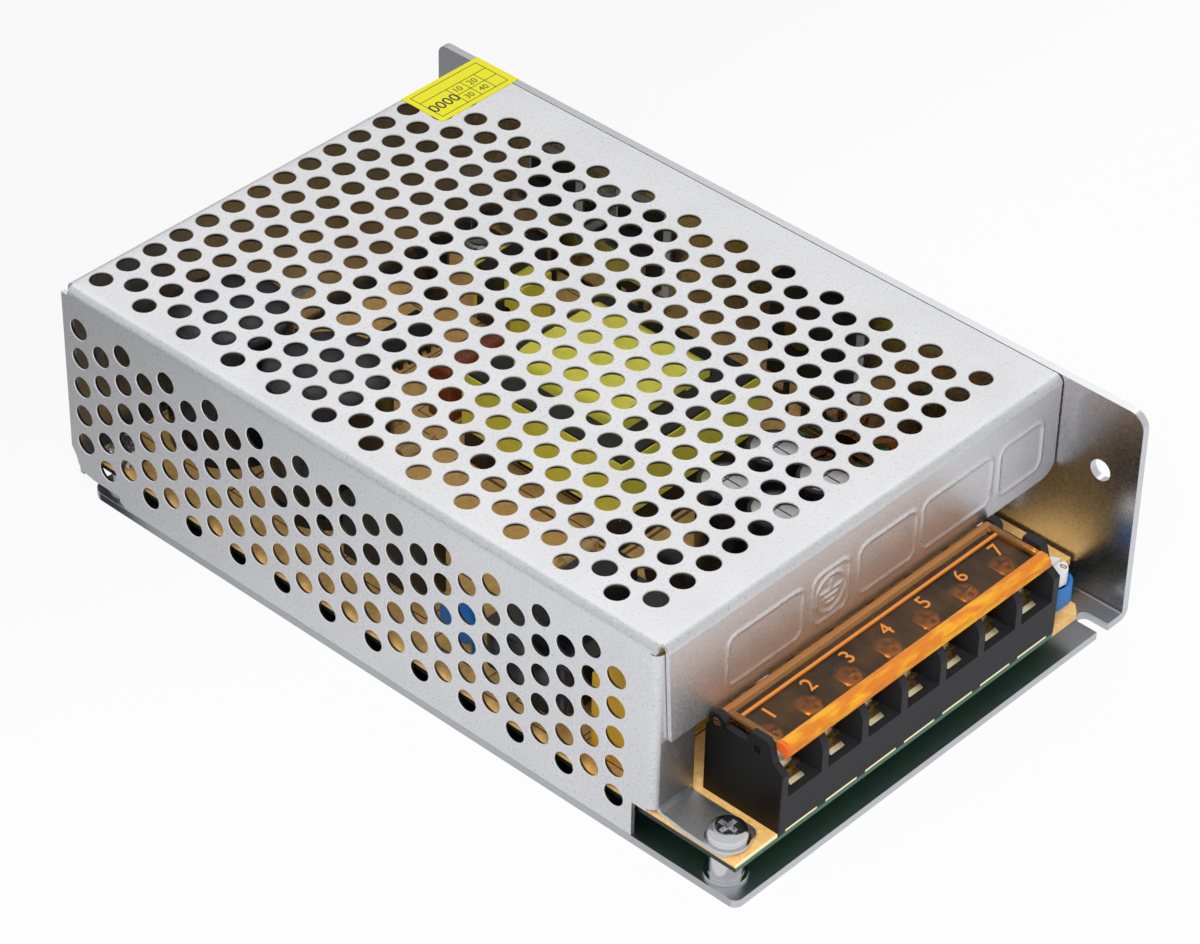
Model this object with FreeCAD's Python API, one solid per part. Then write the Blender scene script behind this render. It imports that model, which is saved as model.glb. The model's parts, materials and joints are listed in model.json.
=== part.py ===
import FreeCAD, Part
import os
from FreeCAD import Vector

# Enclosed switching power supply: a folded chassis, a perforated folded cover,
# a circuit board on standoffs and a seven-way screw terminal under a hinged lid.
# Everything is drawn from one datum: x from the cover's left face, y from the
# cover's front face towards the rear, z from the underside of the base.
# The export moves it so that the origin is under the middle of the whole case.

# Whole case
case_width = 98.0
case_length = 159.0
case_height = 42.0
shelf_depth = 16.5
rear_ear = 7.5
cover_length = case_length - shelf_depth - rear_ear

# Chassis sheet
chassis_gauge = 1.5
chassis_bend = 2.0
wall_outer = case_width
wall_inner = wall_outer - chassis_gauge
wall_front_corner = 3.0
wall_rear_corner = 2.0
ear_hole_radius = 2.0
ear_hole_height = 27.5
front_hole_inset = 7.5
rear_hole_inset = 3.75
base_slot_width = 3.0
base_slot_depth = 5.2
base_slot_from_wall = 6.8
base_rear = cover_length - 4.0
rear_strip_width = 14.0
base_corner = 3.0
rear_tab_width = 18.0
rear_tab_height = 14.0
rear_tab_centre = case_width * 0.5

# Cover sheet
cover_gauge = 0.8
cover_bend = 1.5
sheet_gap = 0.1
cover_right = wall_inner - 0.2
cover_foot = chassis_gauge + sheet_gap
lip_bottom = 22.5
lip_left_top = 1.5
lip_left_bottom = 2.7
lip_corner = 3.0
flange_width = 9.2
foot_left = 1.0
foot_right = 9.0
foot_front = -13.5
foot_corner = 2.0
side_step_height = 8.5
side_step_back = 5.4
side_rear_step = 11.75
side_rear_raise = 1.9
# Notches in the side's lower rear corner, as (distance from the rear, rise)
side_rear_notches = ((4.7, 0.0), (1.7, 0.7), (1.1, 3.0), (0.0, 4.7))
side_tab_width = 12.0
side_tab_depth = 7.0
side_tab_places = (0.22, 0.78)
relief_width = 0.5

# Perforation: rows across the cover, each second row moved half a pitch
hole_radius = 2.0
hole_pitch = 6.0
row_pitch = 5.3
first_row_from_rear = 3.8
last_row_margin = 9.0
top_first_x = 5.6
top_right_margin = 9.0
side_first_drop = 7.5
side_bottom_margin = 5.4

# Circuit board and its standoffs
board_left = 1.3
board_right_gap = 0.6
board_front = -15.0
board_rear = base_rear + 0.5
standoff_height = 4.5
board_thickness = 1.6
board_bottom = chassis_gauge + standoff_height
board_top = board_bottom + board_thickness
board_right = wall_inner - board_right_gap
board_notch_x = 9.0
board_notch_y = 9.5
board_notch_corner = 1.5

standoff_radius = 2.8
standoff_ring_radius = 3.6
standoff_ring_height = 0.5
standoff_shank_radius = 2.45
standoff_bore_radius = 1.5
screw_hole_radius = 1.5
hole_slack = 0.2
board_hole_radius = 1.7
front_post_x = 4.2
front_post_y = -10.7
right_post_from_wall = 5.5
right_post_y = 12.0
rear_post_inset = 5.0

screw_head_radius = 3.3
screw_head_height = 2.2
screw_shank_radius = 1.45
screw_length = 6.0
rear_screw_length = 3.0
washer_radius = 3.7
washer_height = 0.5
thread_clearance = 0.05
cross_width = 0.9
cross_length = 3.4
cross_depth = 1.1

# Screw terminal
way_pitch = 9.5
rib_width = 1.6
block_left = 11.0
trimmer_room = 11.0
most_ways = 7
way_count = min(most_ways, int((wall_inner - trimmer_room - block_left - rib_width) / way_pitch))
block_front = -15.3
block_rear = 0.4
block_floor = 14.2
sill_top = 14.5
sill_depth = 1.4
back_wall_depth = 2.4
back_wall_top = 20.8
rib_top = 21.9
rib_curve = 3.6
foot_width = 2.0
skirt_gap = 0.6
end_shoulder = 19.1
end_top = 22.0
lug_rear = -7.9
lug_front = -12.3
lug_top = 24.4
lug_hole = 1.2
block_right = block_left + way_count * way_pitch + rib_width

pin_y = -1.7
pin_z = 22.4
pin_radius = 0.8
pin_clearance = 0.05
boss_radius = 1.5

contact_width = 6.6
contact_gauge = 0.8
contact_lip = 3.4
contact_shoulder = -11.4
contact_top = block_floor + contact_gauge
contact_front = -13.1
contact_rear = -3.6
leg_width = 2.0
leg_gauge = 1.0
leg_slack = 0.1

clamp_screw_y = -8.0
clamp_size = 6.4
clamp_gauge = 0.8
clamp_wing = 0.6
clamp_gap = 1.2
terminal_head_radius = 2.9
terminal_head_height = 2.4
terminal_washer_radius = 3.0
terminal_washer_height = 0.6
terminal_shank_radius = 1.7
terminal_shank_length = 6.6
terminal_hole_depth = 5.6
pit_slack = 0.4

lid_gap = 0.3
lid_bottom = rib_top + 0.2
lid_gauge = 0.8
lid_rim_width = 1.0
lid_rim_height = 0.7
lid_ridge_radius = 1.2
grip_front = -14.8
grip_rear = -12.5
grip_top = 23.8
grip_bottom = 21.3

# Trimmer
trimmer_gap = 2.4
trimmer_width = 6.6
trimmer_depth = 6.4
trimmer_height = 4.4
trimmer_corner = 2.2
trimmer_front = -12.8
rotor_radius = 2.7
rotor_height = 2.9
rotor_well = 0.6
rotor_clearance = 0.08
rotor_stem_radius = 1.0
rotor_stem_length = 2.0
rotor_slot = 0.7

# Sticker
sticker_length = 10.2
sticker_width = 19.2
sticker_from_rear = 0.8
sticker_gauge = 0.1

# Parts on the board. A place is a share of the board's width or length. The sizes were
# drawn for a board of 94.6 x 131.5 mm under 33.5 mm of room, and they follow the board and
# the room, so that a smaller case takes smaller parts.
plan_scale = min((board_right - board_left) / 94.6, board_rear / 131.5)
head_room = case_height - cover_gauge - board_top
height_scale = head_room / 33.5


def fitted(width, length, height):
    """Size of a box-shaped part, from its size on the board that the parts were drawn for."""
    return width * plan_scale, length * plan_scale, height * height_scale


line_capacitor = fitted(18.0, 10.0, 14.6)
line_capacitor_corner = 0.8
line_choke_size = fitted(21.0, 19.0, 19.0)
choke_leg = 5.0 * plan_scale
choke_slack = 0.2
coil_corner = 2.0 * plan_scale
bulk_radius = 11.0 * plan_scale
bulk_height = 25.5 * height_scale
bulk_groove = 2.5
transformer_size = fitted(34.0, 36.0, 12.5)
core_leg = 5.5 * plan_scale
core_centre_leg = 10.0 * plan_scale
core_lift = 6.4 * height_scale
winding_height = 20.0 * height_scale
winding_slack = 0.3
winding_corner = 3.0 * plan_scale
tape_gauge = 0.3
tape_margin = 0.4
output_can_radius = 5.0 * plan_scale
output_can_height = 20.0 * height_scale
output_can_groove = 1.5
output_can_columns = (0.536, 0.663)
output_can_rows = (0.250, 0.168)
output_choke_radius = 8.5 * plan_scale
output_choke_bore = 4.2 * plan_scale
output_choke_height = 9.0 * height_scale
output_choke_from_wall = 11.0 * plan_scale
turn_count = 14
turn_radius = 0.6 * plan_scale
turn_slack = 0.1
film_size = fitted(17.0, 6.0, 11.0)
film_corner = 1.6 * plan_scale
driver_size = fitted(14.0, 12.0, 12.0)
driver_lift = 2.0
driver_core_depth = 4.0 * plan_scale
driver_leg = 3.0 * plan_scale
driver_slack = 0.2
chip_size = fitted(19.0, 6.4, 3.6)
chip_lift = 0.6
chip_legs = 8
chip_leg_pitch = 2.3 * plan_scale
chip_leg = (0.9, 0.5, 2.4)
bridge_size = fitted(5.0, 19.0, 15.0)
bridge_corner = 4.0 * height_scale
bridge_lift = 2.0
bridge_leg = (0.7, 1.0, 2.2)
bridge_leg_pitch = 5.0 * plan_scale
disc_radius = 4.2 * plan_scale
disc_gauge = 3.2 * plan_scale
thermistor_radius = 5.5 * plan_scale
thermistor_gauge = 4.0 * plan_scale
disc_lift = 2.0
fuse_radius = 2.6 * plan_scale
fuse_length = 20.0 * plan_scale
fuse_cap_length = 5.0 * plan_scale
fuse_lift = 0.8
lead_radius = 0.4
resistor_radius = 1.2 * plan_scale
resistor_length = 6.5 * plan_scale
resistor_lift = 0.4
resistor_lead = 1.6 * plan_scale
small_can_radius = 3.2 * plan_scale
small_can_height = 11.0 * height_scale
small_can_groove = 1.2

# Parts on the wall. Their heights are what the room under the cover leaves.
package_lift = 8.0
package_top_gap = 9.5
rectifier_top_gap = 5.5
package_width = 10.0 * plan_scale
package_height = head_room - package_lift - package_top_gap
package_gauge = 4.4
rectifier_width = 15.6 * plan_scale
rectifier_height = head_room - package_lift - rectifier_top_gap
rectifier_gauge = 4.8
tab_gauge = 1.2
package_body_share = 0.62
package_leg_share = 0.27
package_leg = (0.8, 1.0)
package_leg_inset = 1.4
bar_share = 0.375
rectifier_screw_share = 0.6
pad_gauge = 0.25
pad_margin = 1.5
bar_gauge = 1.5
bar_height = 5.0
heatsink_screw_radius = 1.45
heatsink_head_radius = 2.8
heatsink_head_height = 1.8

# How far a cutting shape runs past the face that it cuts through
overrun = 1.0

UP = Vector(0, 0, 1)
REAR = Vector(0, 1, 0)
RIGHT = Vector(1, 0, 0)
ORIGIN_SHIFT = Vector(-case_width / 2, -case_length / 2 + shelf_depth, 0)


def box(x0, x1, y0, y1, z0, z1):
    """Block between two opposite corners."""
    return Part.makeBox(x1 - x0, y1 - y0, z1 - z0, Vector(x0, y0, z0))


def block(centre_x, centre_y, bottom, size):
    """Block of a size (x, y, z) that stands on a height, centred on a place."""
    corner = Vector(centre_x - size[0] / 2, centre_y - size[1] / 2, bottom)
    return Part.makeBox(size[0], size[1], size[2], corner)


def rod(radius, start, length, direction=UP):
    """Cylinder from a start point along a direction."""
    return Part.makeCylinder(radius, length, Vector(*start), direction)


def drill(radius, start, length, direction=UP):
    """Cylinder to cut a hole with: it runs past both ends of the stretch that it is given."""
    return rod(radius, Vector(*start) - direction * overrun, length + 2 * overrun, direction)


def plate(points, push, holes=()):
    """Flat sheet: a closed outline with holes (closed wires), pushed by a vector."""
    outline = Part.makePolygon(list(points) + [points[0]])
    face = Part.makeFace([outline] + list(holes), "Part::FaceMakerBullseye")
    return face.extrude(push)


def bend(centre, start, end, outer, gauge, along):
    """Quarter of a tube: a sheet folded by a right angle about a line.

    start and end are unit vectors from the fold's centre to its two ends."""
    middle = (start + end).normalize()
    inner = outer - gauge
    edges = [
        Part.Arc(centre + start * outer, centre + middle * outer, centre + end * outer).toShape(),
        Part.makeLine(centre + end * outer, centre + end * inner),
        Part.Arc(centre + end * inner, centre + middle * inner, centre + start * inner).toShape(),
        Part.makeLine(centre + start * inner, centre + start * outer),
    ]
    return Part.Face(Part.Wire(edges)).extrude(along)


def fuse(pieces):
    """One solid from pieces that touch, without seams between coplanar faces."""
    whole = pieces[0].multiFuse(pieces[1:]).removeSplitter()
    return whole.Solids[0] if len(whole.Solids) == 1 else whole


def fillet_along(shape, direction, radius, chosen):
    """Round the straight edges that run along a direction and pass a test on their middle."""
    edges = []
    for edge in shape.Edges:
        if len(edge.Vertexes) != 2 or not isinstance(edge.Curve, Part.Line):
            continue
        run = edge.Vertexes[1].Point - edge.Vertexes[0].Point
        if run.normalize().cross(direction).Length < 0.001 and chosen(edge.CenterOfMass):
            edges.append(edge)
    return shape.makeFillet(radius, edges)


def cross_recess(centre, top, width, length, depth):
    """Two crossed blocks, to cut a driver recess into a screw head."""
    first = block(centre.x, centre.y, top - depth, (length, width, depth + 1.0))
    second = block(centre.x, centre.y, top - depth, (width, length, depth + 1.0))
    return first.fuse(second)


def pan_screw(x, y, seat, head_radius, head_height, shank_radius, length):
    """Screw that points down: a domed head with a cross recess on a plain shank."""
    head = rod(head_radius, (x, y, seat), head_height)
    rim = [edge for edge in head.Edges if edge.Closed and edge.CenterOfMass.z > seat + head_height / 2]
    head = head.makeFillet(head_height * 0.55, rim)
    recess = cross_recess(Vector(x, y, 0), seat + head_height, cross_width, cross_length, cross_depth)
    return fuse([head, rod(shank_radius, (x, y, seat - length), length)]).cut(recess)


def case_screw(x, y, seat, length):
    """The one kind of pan head screw that holds the board and the cover's rear wall."""
    return pan_screw(x, y, seat, screw_head_radius, screw_head_height, screw_shank_radius, length)


def along_board_x(share):
    """Place across the board, from a share of its width."""
    return board_left + share * (board_right - board_left)


def along_board_y(share):
    """Place along the covered part of the board, from a share of its length."""
    return share * board_rear


# Standoffs: two at the front, two at the rear
post_places = (
    (front_post_x, front_post_y),
    (wall_inner - right_post_from_wall, right_post_y),
    (rear_post_inset, board_rear - rear_post_inset),
    (wall_inner - right_post_from_wall, board_rear - rear_post_inset),
)


def chassis():
    """Base plate and right wall folded from one sheet, with ears past the cover."""
    front = -shelf_depth
    rear = cover_length + rear_ear
    fold = wall_outer - chassis_bend
    strip = wall_outer - rear_strip_width
    tab_left = rear_tab_centre - rear_tab_width / 2
    tab_right = rear_tab_centre + rear_tab_width / 2
    tab_face = cover_length - cover_gauge - sheet_gap
    tab_fold = tab_face - chassis_bend
    outline = [
        (0, front), (fold, front), (fold, rear), (strip, rear), (strip, base_rear),
        (tab_right, base_rear), (tab_right, tab_fold), (tab_left, tab_fold),
        (tab_left, base_rear), (0, base_rear),
    ]
    base = plate([Vector(x, y, 0) for x, y in outline], UP * chassis_gauge)
    base = fillet_along(base, UP, base_corner, lambda c: c.x < 1 and c.y > 0)
    base = fillet_along(base, UP, base_corner / 2, lambda c: c.x < 1 and c.y < 0)

    wall = box(wall_inner, wall_outer, front, rear, chassis_bend, case_height)
    wall = fillet_along(wall, RIGHT, wall_front_corner, lambda c: c.z > 1 + chassis_bend and c.y < 0)
    wall = fillet_along(wall, RIGHT, wall_rear_corner, lambda c: c.z > 1 + chassis_bend and c.y > 0)
    corner = Vector(fold, front, chassis_bend)
    side_fold = bend(corner, RIGHT, -UP, chassis_bend, chassis_gauge, REAR * (rear - front))

    tab = box(tab_left, tab_right, tab_face - chassis_gauge, tab_face, chassis_bend, rear_tab_height)
    tab_corner = Vector(tab_left, tab_fold, chassis_bend)
    tab_bend = bend(tab_corner, REAR, -UP, chassis_bend, chassis_gauge, RIGHT * rear_tab_width)
    body = fuse([base, wall, side_fold, tab, tab_bend])

    tools = []
    for y in (front + front_hole_inset, rear - rear_hole_inset):
        tools.append(drill(ear_hole_radius, (wall_inner, y, ear_hole_height), chassis_gauge, RIGHT))
    slot_x = wall_outer - base_slot_from_wall
    half = base_slot_width / 2
    for edge_y, inward in ((front, 1), (rear, -1)):
        centre_y = edge_y + inward * (base_slot_depth - half)
        tools.append(drill(half, (slot_x, centre_y, 0), chassis_gauge))
        low, high = sorted((edge_y - inward * overrun, centre_y))
        tools.append(box(slot_x - half, slot_x + half, low, high, -overrun, chassis_gauge + overrun))
    for x, y in post_places:
        tools.append(drill(standoff_shank_radius + thread_clearance, (x, y, 0), chassis_gauge))
    for y, z in heatsink_screw_places():
        place = (wall_inner, y, z)
        tools.append(drill(heatsink_screw_radius + thread_clearance, place, chassis_gauge, RIGHT))
    for y in side_screw_places():
        tools.append(countersink(y))
    rear_hole = (rear_tab_centre, tab_face - chassis_gauge, rear_screw_height())
    tools.append(drill(screw_hole_radius, rear_hole, chassis_gauge, REAR))
    return body.cut(Part.makeCompound(tools))


def side_screw_places():
    """Where the two screws through the wall hold the cover's tabs, along y."""
    return [share * cover_length for share in side_tab_places]


def side_screw_height():
    return case_height - cover_bend - side_tab_depth * 0.5


def rear_screw_height():
    return (rear_tab_height + chassis_bend) / 2


def countersink(y):
    """Cone and hole for a flush screw in the right wall."""
    z = side_screw_height()
    wide = screw_hole_radius + chassis_gauge
    cone = Part.makeCone(wide, screw_hole_radius, chassis_gauge, Vector(wall_outer, y, z), -RIGHT)
    return cone.fuse(drill(screw_hole_radius, (wall_inner, y, z), chassis_gauge, RIGHT))


def top_hole_centres():
    """Hole centres on the cover's top: even and odd rows are half a pitch apart."""
    rows = int((cover_length - first_row_from_rear - last_row_margin) / row_pitch) + 1
    for row in range(rows):
        y = cover_length - first_row_from_rear - row * row_pitch
        first = top_first_x + (row % 2) * hole_pitch / 2
        count = int((cover_right - first - top_right_margin) / hole_pitch) + 1
        for column in range(count):
            yield first + column * hole_pitch, y


def side_hole_centres():
    """Hole centres on the cover's side, which carry on the rows of the top."""
    rows = int((cover_length - first_row_from_rear - last_row_margin) / row_pitch) + 1
    for row in range(rows):
        y = cover_length - first_row_from_rear - row * row_pitch
        first = case_height - side_first_drop - (row % 2) * hole_pitch / 2
        count = int((first - side_bottom_margin) / hole_pitch) + 1
        for column in range(count):
            yield y, first - column * hole_pitch


def hole_wire(centre, normal):
    """Round outline of one punched hole."""
    return Part.Wire(Part.makeCircle(hole_radius, centre, normal))


def cover():
    """Perforated top and left side, front lip, front flange with its foot, and rear wall."""
    top = case_height
    fold = cover_bend
    under = top - cover_gauge
    rear = cover_length
    lip_right = cover_right - sheet_gap
    flange_face = cover_gauge + sheet_gap
    flange_top = top - fold - 3 * sheet_gap
    inner = cover_bend - cover_gauge
    foot_bottom = board_top
    foot_fold = foot_bottom + cover_bend

    holes = [hole_wire(Vector(x, y, under), UP) for x, y in top_hole_centres()]
    corners = [(fold, fold), (cover_right, fold), (cover_right, rear - fold), (fold, rear - fold)]
    top_sheet = plate([Vector(x, y, under) for x, y in corners], UP * cover_gauge, holes)

    holes = [hole_wire(Vector(0, y, z), RIGHT) for y, z in side_hole_centres()]
    raise_y = rear - side_rear_step
    raise_z = cover_foot + side_rear_raise
    side_outline = [
        (flange_face + fold, top - fold), (flange_face + fold, side_step_height),
        (side_step_back, side_step_height), (side_step_back, cover_foot),
        (raise_y, cover_foot), (raise_y, raise_z),
    ]
    side_outline += [(rear - back, raise_z + rise) for back, rise in side_rear_notches]
    side_outline.append((rear, top - fold))
    side_sheet = plate([Vector(0, y, z) for y, z in side_outline], RIGHT * cover_gauge, holes)

    lip_outline = [
        (lip_left_top, top - fold), (lip_left_bottom, lip_bottom),
        (lip_right, lip_bottom), (lip_right, top - fold),
    ]
    lip = plate([Vector(x, 0, z) for x, z in lip_outline], REAR * cover_gauge)
    lip = fillet_along(lip, REAR, lip_corner, lambda c: c.z < lip_bottom + 1 and c.x > lip_right - 1)

    rear_outline = [
        (fold, top - fold), (fold, cover_foot), (lip_right, cover_foot), (lip_right, top - fold),
    ]
    rear_face = rear - cover_gauge
    rear_sheet = plate([Vector(x, rear_face, z) for x, z in rear_outline], REAR * cover_gauge)
    screw_place = (rear_tab_centre, rear_face, rear_screw_height())
    rear_sheet = rear_sheet.cut(drill(screw_hole_radius + hole_slack, screw_place, cover_gauge, REAR))

    side_run = REAR * (rear - 2 * fold)
    lip_run = RIGHT * (lip_right - fold)
    flange_run = UP * (flange_top - foot_fold)
    foot_run = RIGHT * (foot_right - foot_left - fold)
    folds = [
        bend(Vector(fold, fold, top - fold), -RIGHT, UP, fold, cover_gauge, side_run),
        bend(Vector(fold, fold, top - fold), -REAR, UP, fold, cover_gauge, lip_run),
        bend(Vector(fold, rear - fold, top - fold), REAR, UP, fold, cover_gauge, lip_run),
        bend(Vector(fold, flange_face + fold, foot_fold), -RIGHT, -REAR, fold, cover_gauge, flange_run),
    ]
    flange = box(fold, flange_width, flange_face, flange_face + cover_gauge, foot_fold, flange_top)
    foot_centre = Vector(foot_left + fold, flange_face - inner, foot_fold)
    folds.append(bend(foot_centre, REAR, -UP, fold, cover_gauge, foot_run))
    foot = box(foot_left, foot_right, foot_front, foot_centre.y, foot_bottom, foot_bottom + cover_gauge)
    foot = fillet_along(foot, UP, foot_corner, lambda c: c.y < foot_front + 1)
    foot = foot.cut(drill(board_hole_radius, (front_post_x, front_post_y, foot_bottom), cover_gauge))

    sheet = fuse([top_sheet, side_sheet, lip, rear_sheet, flange, foot] + folds)
    return add_side_tabs(sheet)


def add_side_tabs(sheet):
    """Two short tabs folded down inside the right wall, where the wall's screws go in."""
    face = wall_inner - sheet_gap
    fold_x = face - cover_bend
    top = case_height
    low = top - cover_bend - side_tab_depth
    for y in side_screw_places():
        y0 = y - side_tab_width / 2
        y1 = y + side_tab_width / 2
        sheet = sheet.cut(box(fold_x, cover_right + overrun, y0 - relief_width, y1 + relief_width,
                              top - cover_bend, top + overrun))
        centre = Vector(fold_x, y0, top - cover_bend)
        turned = bend(centre, RIGHT, UP, cover_bend, cover_gauge, REAR * side_tab_width)
        tab = box(face - cover_gauge, face, y0, y1, low, top - cover_bend)
        hole = (face - cover_gauge, y, side_screw_height())
        tab = tab.cut(drill(screw_hole_radius, hole, cover_gauge, RIGHT))
        sheet = fuse([sheet, turned, tab])
    return sheet


def circuit_board():
    """Board with a stepped front right corner, screw holes and slots for the terminal legs."""
    notch_x = board_right - board_notch_x
    notch_y = board_front + board_notch_y
    outline = [
        (board_left, board_front), (notch_x - board_notch_corner, board_front),
        (notch_x, board_front + board_notch_corner), (notch_x, notch_y),
        (board_right, notch_y), (board_right, board_rear), (board_left, board_rear),
    ]
    board = plate([Vector(x, y, board_bottom) for x, y in outline], UP * board_thickness)
    tools = [drill(board_hole_radius, (x, y, board_bottom), board_thickness) for x, y in post_places]
    for centre in way_centres():
        slot = (leg_width + 2 * leg_slack, leg_gauge + 2 * leg_slack, board_thickness + 2)
        tools.append(block(centre, contact_rear - leg_gauge / 2, board_bottom - 1, slot))
    return board.cut(Part.makeCompound(tools))


def standoffs():
    """Four riveted posts: a shank in the base, a flared ring, a tall tube."""
    posts = []
    for x, y in post_places:
        tube = rod(standoff_radius, (x, y, chassis_gauge), standoff_height)
        ring = rod(standoff_ring_radius, (x, y, chassis_gauge), standoff_ring_height)
        shank = rod(standoff_shank_radius, (x, y, 0), chassis_gauge)
        bore = drill(standoff_bore_radius, (x, y, 0), board_bottom)
        posts.append(fuse([tube, ring, shank]).cut(bore))
    return Part.makeCompound(posts)


def washer_seat(index):
    """Height under a board screw's washer: the first one also holds the cover's foot."""
    return board_top + (cover_gauge if index == 0 else 0)


def screw_washers():
    washers = []
    for index, (x, y) in enumerate(post_places):
        seat = washer_seat(index)
        ring = rod(washer_radius, (x, y, seat), washer_height)
        washers.append(ring.cut(drill(board_hole_radius, (x, y, seat), washer_height)))
    return Part.makeCompound(washers)


def board_screws():
    screws = []
    for index, (x, y) in enumerate(post_places):
        seat = washer_seat(index) + washer_height
        screws.append(case_screw(x, y, seat, screw_length))
    return Part.makeCompound(screws)


def cover_screws():
    """Two flush screws in the wall and one pan head screw in the rear wall."""
    screws = []
    wide = screw_hole_radius + chassis_gauge - thread_clearance
    for y in side_screw_places():
        z = side_screw_height()
        head = Part.makeCone(wide, screw_shank_radius, chassis_gauge, Vector(wall_outer, y, z), -RIGHT)
        shank = rod(screw_shank_radius, (wall_inner - 4, y, z), 4 + chassis_gauge / 2, RIGHT)
        screws.append(fuse([head, shank]))
    upright = case_screw(0, 0, 0, rear_screw_length)
    upright.rotate(Vector(0, 0, 0), RIGHT, -90)
    upright.translate(Vector(rear_tab_centre, cover_length, rear_screw_height()))
    screws.append(upright)
    return Part.makeCompound(screws)


def way_centres():
    """Middle of each terminal bay, left to right."""
    first = block_left + rib_width / 2 + way_pitch / 2
    return [first + way_pitch * way for way in range(way_count)]


def rib(x0, x1):
    """Partition between two bays, with a round front top edge."""
    curve = Vector(0, block_front + rib_curve, rib_top - rib_curve)
    profile = box(x0, x1, block_front, block_rear, block_floor - 1, rib_top)
    profile = profile.cut(box(x0 - 1, x1 + 1, block_front - 1, curve.y, curve.z, rib_top + 1))
    nose = rod(rib_curve, (x0, curve.y, curve.z), x1 - x0, RIGHT)
    return profile.fuse(nose.common(box(x0, x1, block_front - 1, curve.y, curve.z, rib_top + 1)))


def end_wall(x0, x1):
    """End of the housing: sloped front shoulder, raised lug with a square hole, hinge boss."""
    outline = [
        (block_rear, board_top), (block_rear, pin_z - boss_radius), (pin_y, pin_z - boss_radius / 2),
        (pin_y - boss_radius, end_top), (lug_rear, end_top), (lug_rear - 0.5, lug_top),
        (lug_front + 0.7, lug_top), (lug_front, lug_top - 0.8), (lug_front - 0.9, end_shoulder + 1.5),
        (block_front, end_shoulder), (block_front, board_top),
    ]
    wall = plate([Vector(x0, y, z) for y, z in outline], RIGHT * (x1 - x0))
    wall = wall.fuse(rod(boss_radius, (x0, pin_y, pin_z), x1 - x0, RIGHT))
    lug_y = (lug_rear + lug_front) / 2
    half = lug_hole / 2
    hole = box(x0 - overrun, x1 + overrun, lug_y - half, lug_y + half, end_top - half, end_top + half)
    pin_hole = drill(pin_radius + pin_clearance, (x0, pin_y, pin_z), x1 - x0, RIGHT)
    return wall.cut(hole).cut(pin_hole)


def terminal_block():
    """Black housing: floor, sill, back wall, partitions and two end walls in one moulding."""
    floor = box(block_left, block_right, block_front, block_rear, board_top, block_floor)
    skirt_rear = board_front - sheet_gap
    skirt = box(block_left, block_right, block_front, skirt_rear, board_bottom, board_top)
    sill = box(block_left, block_right, block_front, block_front + sill_depth, block_floor, sill_top)
    back_front = block_rear - back_wall_depth
    back = box(block_left, block_right, back_front, block_rear, block_floor, back_wall_top)
    pieces = [floor, skirt, sill, back]
    for way in range(1, way_count):
        x = block_left + way * way_pitch
        pieces.append(rib(x, x + rib_width))
    pieces.append(end_wall(block_left, block_left + rib_width))
    pieces.append(end_wall(block_right - rib_width, block_right))
    ridge_start = block_left + rib_width
    ridge_length = way_count * way_pitch - rib_width
    tools = [rod(lid_ridge_radius + lid_gap, (ridge_start, pin_y, pin_z), ridge_length, RIGHT)]
    for centre in way_centres():
        half = (way_pitch - foot_width) / 2
        tools.append(box(centre - half, centre + half, block_front - overrun, skirt_rear + sheet_gap / 2,
                         board_bottom - overrun, board_bottom + skirt_gap))
        pit_bottom = block_floor - terminal_hole_depth
        pit_place = (centre, clamp_screw_y, pit_bottom)
        tools.append(rod(terminal_shank_radius + pit_slack, pit_place, terminal_hole_depth + overrun))
        slot = (leg_width + 2 * leg_slack, leg_gauge + 2 * leg_slack, block_floor)
        tools.append(block(centre, contact_rear - leg_gauge / 2, board_top - overrun, slot))
    return fuse(pieces).cut(Part.makeCompound(tools))


def terminal_contacts():
    """Seven brass strips: a flat plate with a screw hole, a front tongue, a leg into the board."""
    contacts = []
    for centre in way_centres():
        half = contact_width / 2
        flat = box(centre - half, centre + half, contact_shoulder, contact_rear, block_floor, contact_top)
        lip = box(centre - contact_lip / 2, centre + contact_lip / 2, contact_front, contact_shoulder,
                  block_floor, contact_top)
        leg = block(centre, contact_rear - leg_gauge / 2, board_bottom - 1,
                    (leg_width, leg_gauge, block_floor - board_bottom + 1))
        tongue_bottom = sill_top + sheet_gap / 2
        tongue_outline = [
            (contact_front, contact_top), (contact_front - contact_gauge, tongue_bottom),
            (contact_front, tongue_bottom),
        ]
        tongue_left = centre - contact_lip / 2
        tongue = plate([Vector(tongue_left, y, z) for y, z in tongue_outline], RIGHT * contact_lip)
        place = (centre, clamp_screw_y, block_floor)
        hole = drill(terminal_shank_radius + thread_clearance, place, contact_gauge)
        contacts.append(fuse([flat, lip, leg, tongue]).cut(hole))
    return Part.makeCompound(contacts)


def terminal_clamp(centre):
    """Square wire clamp: a plate whose front and rear edges turn down, with a screw hole."""
    bottom = contact_top + clamp_gap
    half = clamp_size / 2
    y0 = clamp_screw_y - half
    y1 = clamp_screw_y + half
    wing = bottom - clamp_wing
    top = bottom + clamp_gauge
    outline = [
        (y0, wing), (y0 + clamp_gauge, wing), (y0 + 2 * clamp_gauge, bottom),
        (y1 - 2 * clamp_gauge, bottom), (y1 - clamp_gauge, wing), (y1, wing),
        (y1, bottom), (y1 - clamp_gauge, top), (y0 + clamp_gauge, top), (y0, bottom),
    ]
    saddle = plate([Vector(centre - half, y, z) for y, z in outline], RIGHT * clamp_size)
    for side in (-1, 1):
        shoulder = centre + side * (contact_lip / 2 + half) / 2
        size = (half - contact_lip / 2, 2 * clamp_gauge, 2 * clamp_gauge + clamp_wing)
        saddle = saddle.cut(block(shoulder, y0, wing, size))
    hole = drill(terminal_shank_radius + thread_clearance, (centre, clamp_screw_y, bottom), clamp_gauge)
    return saddle.cut(hole)


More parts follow.
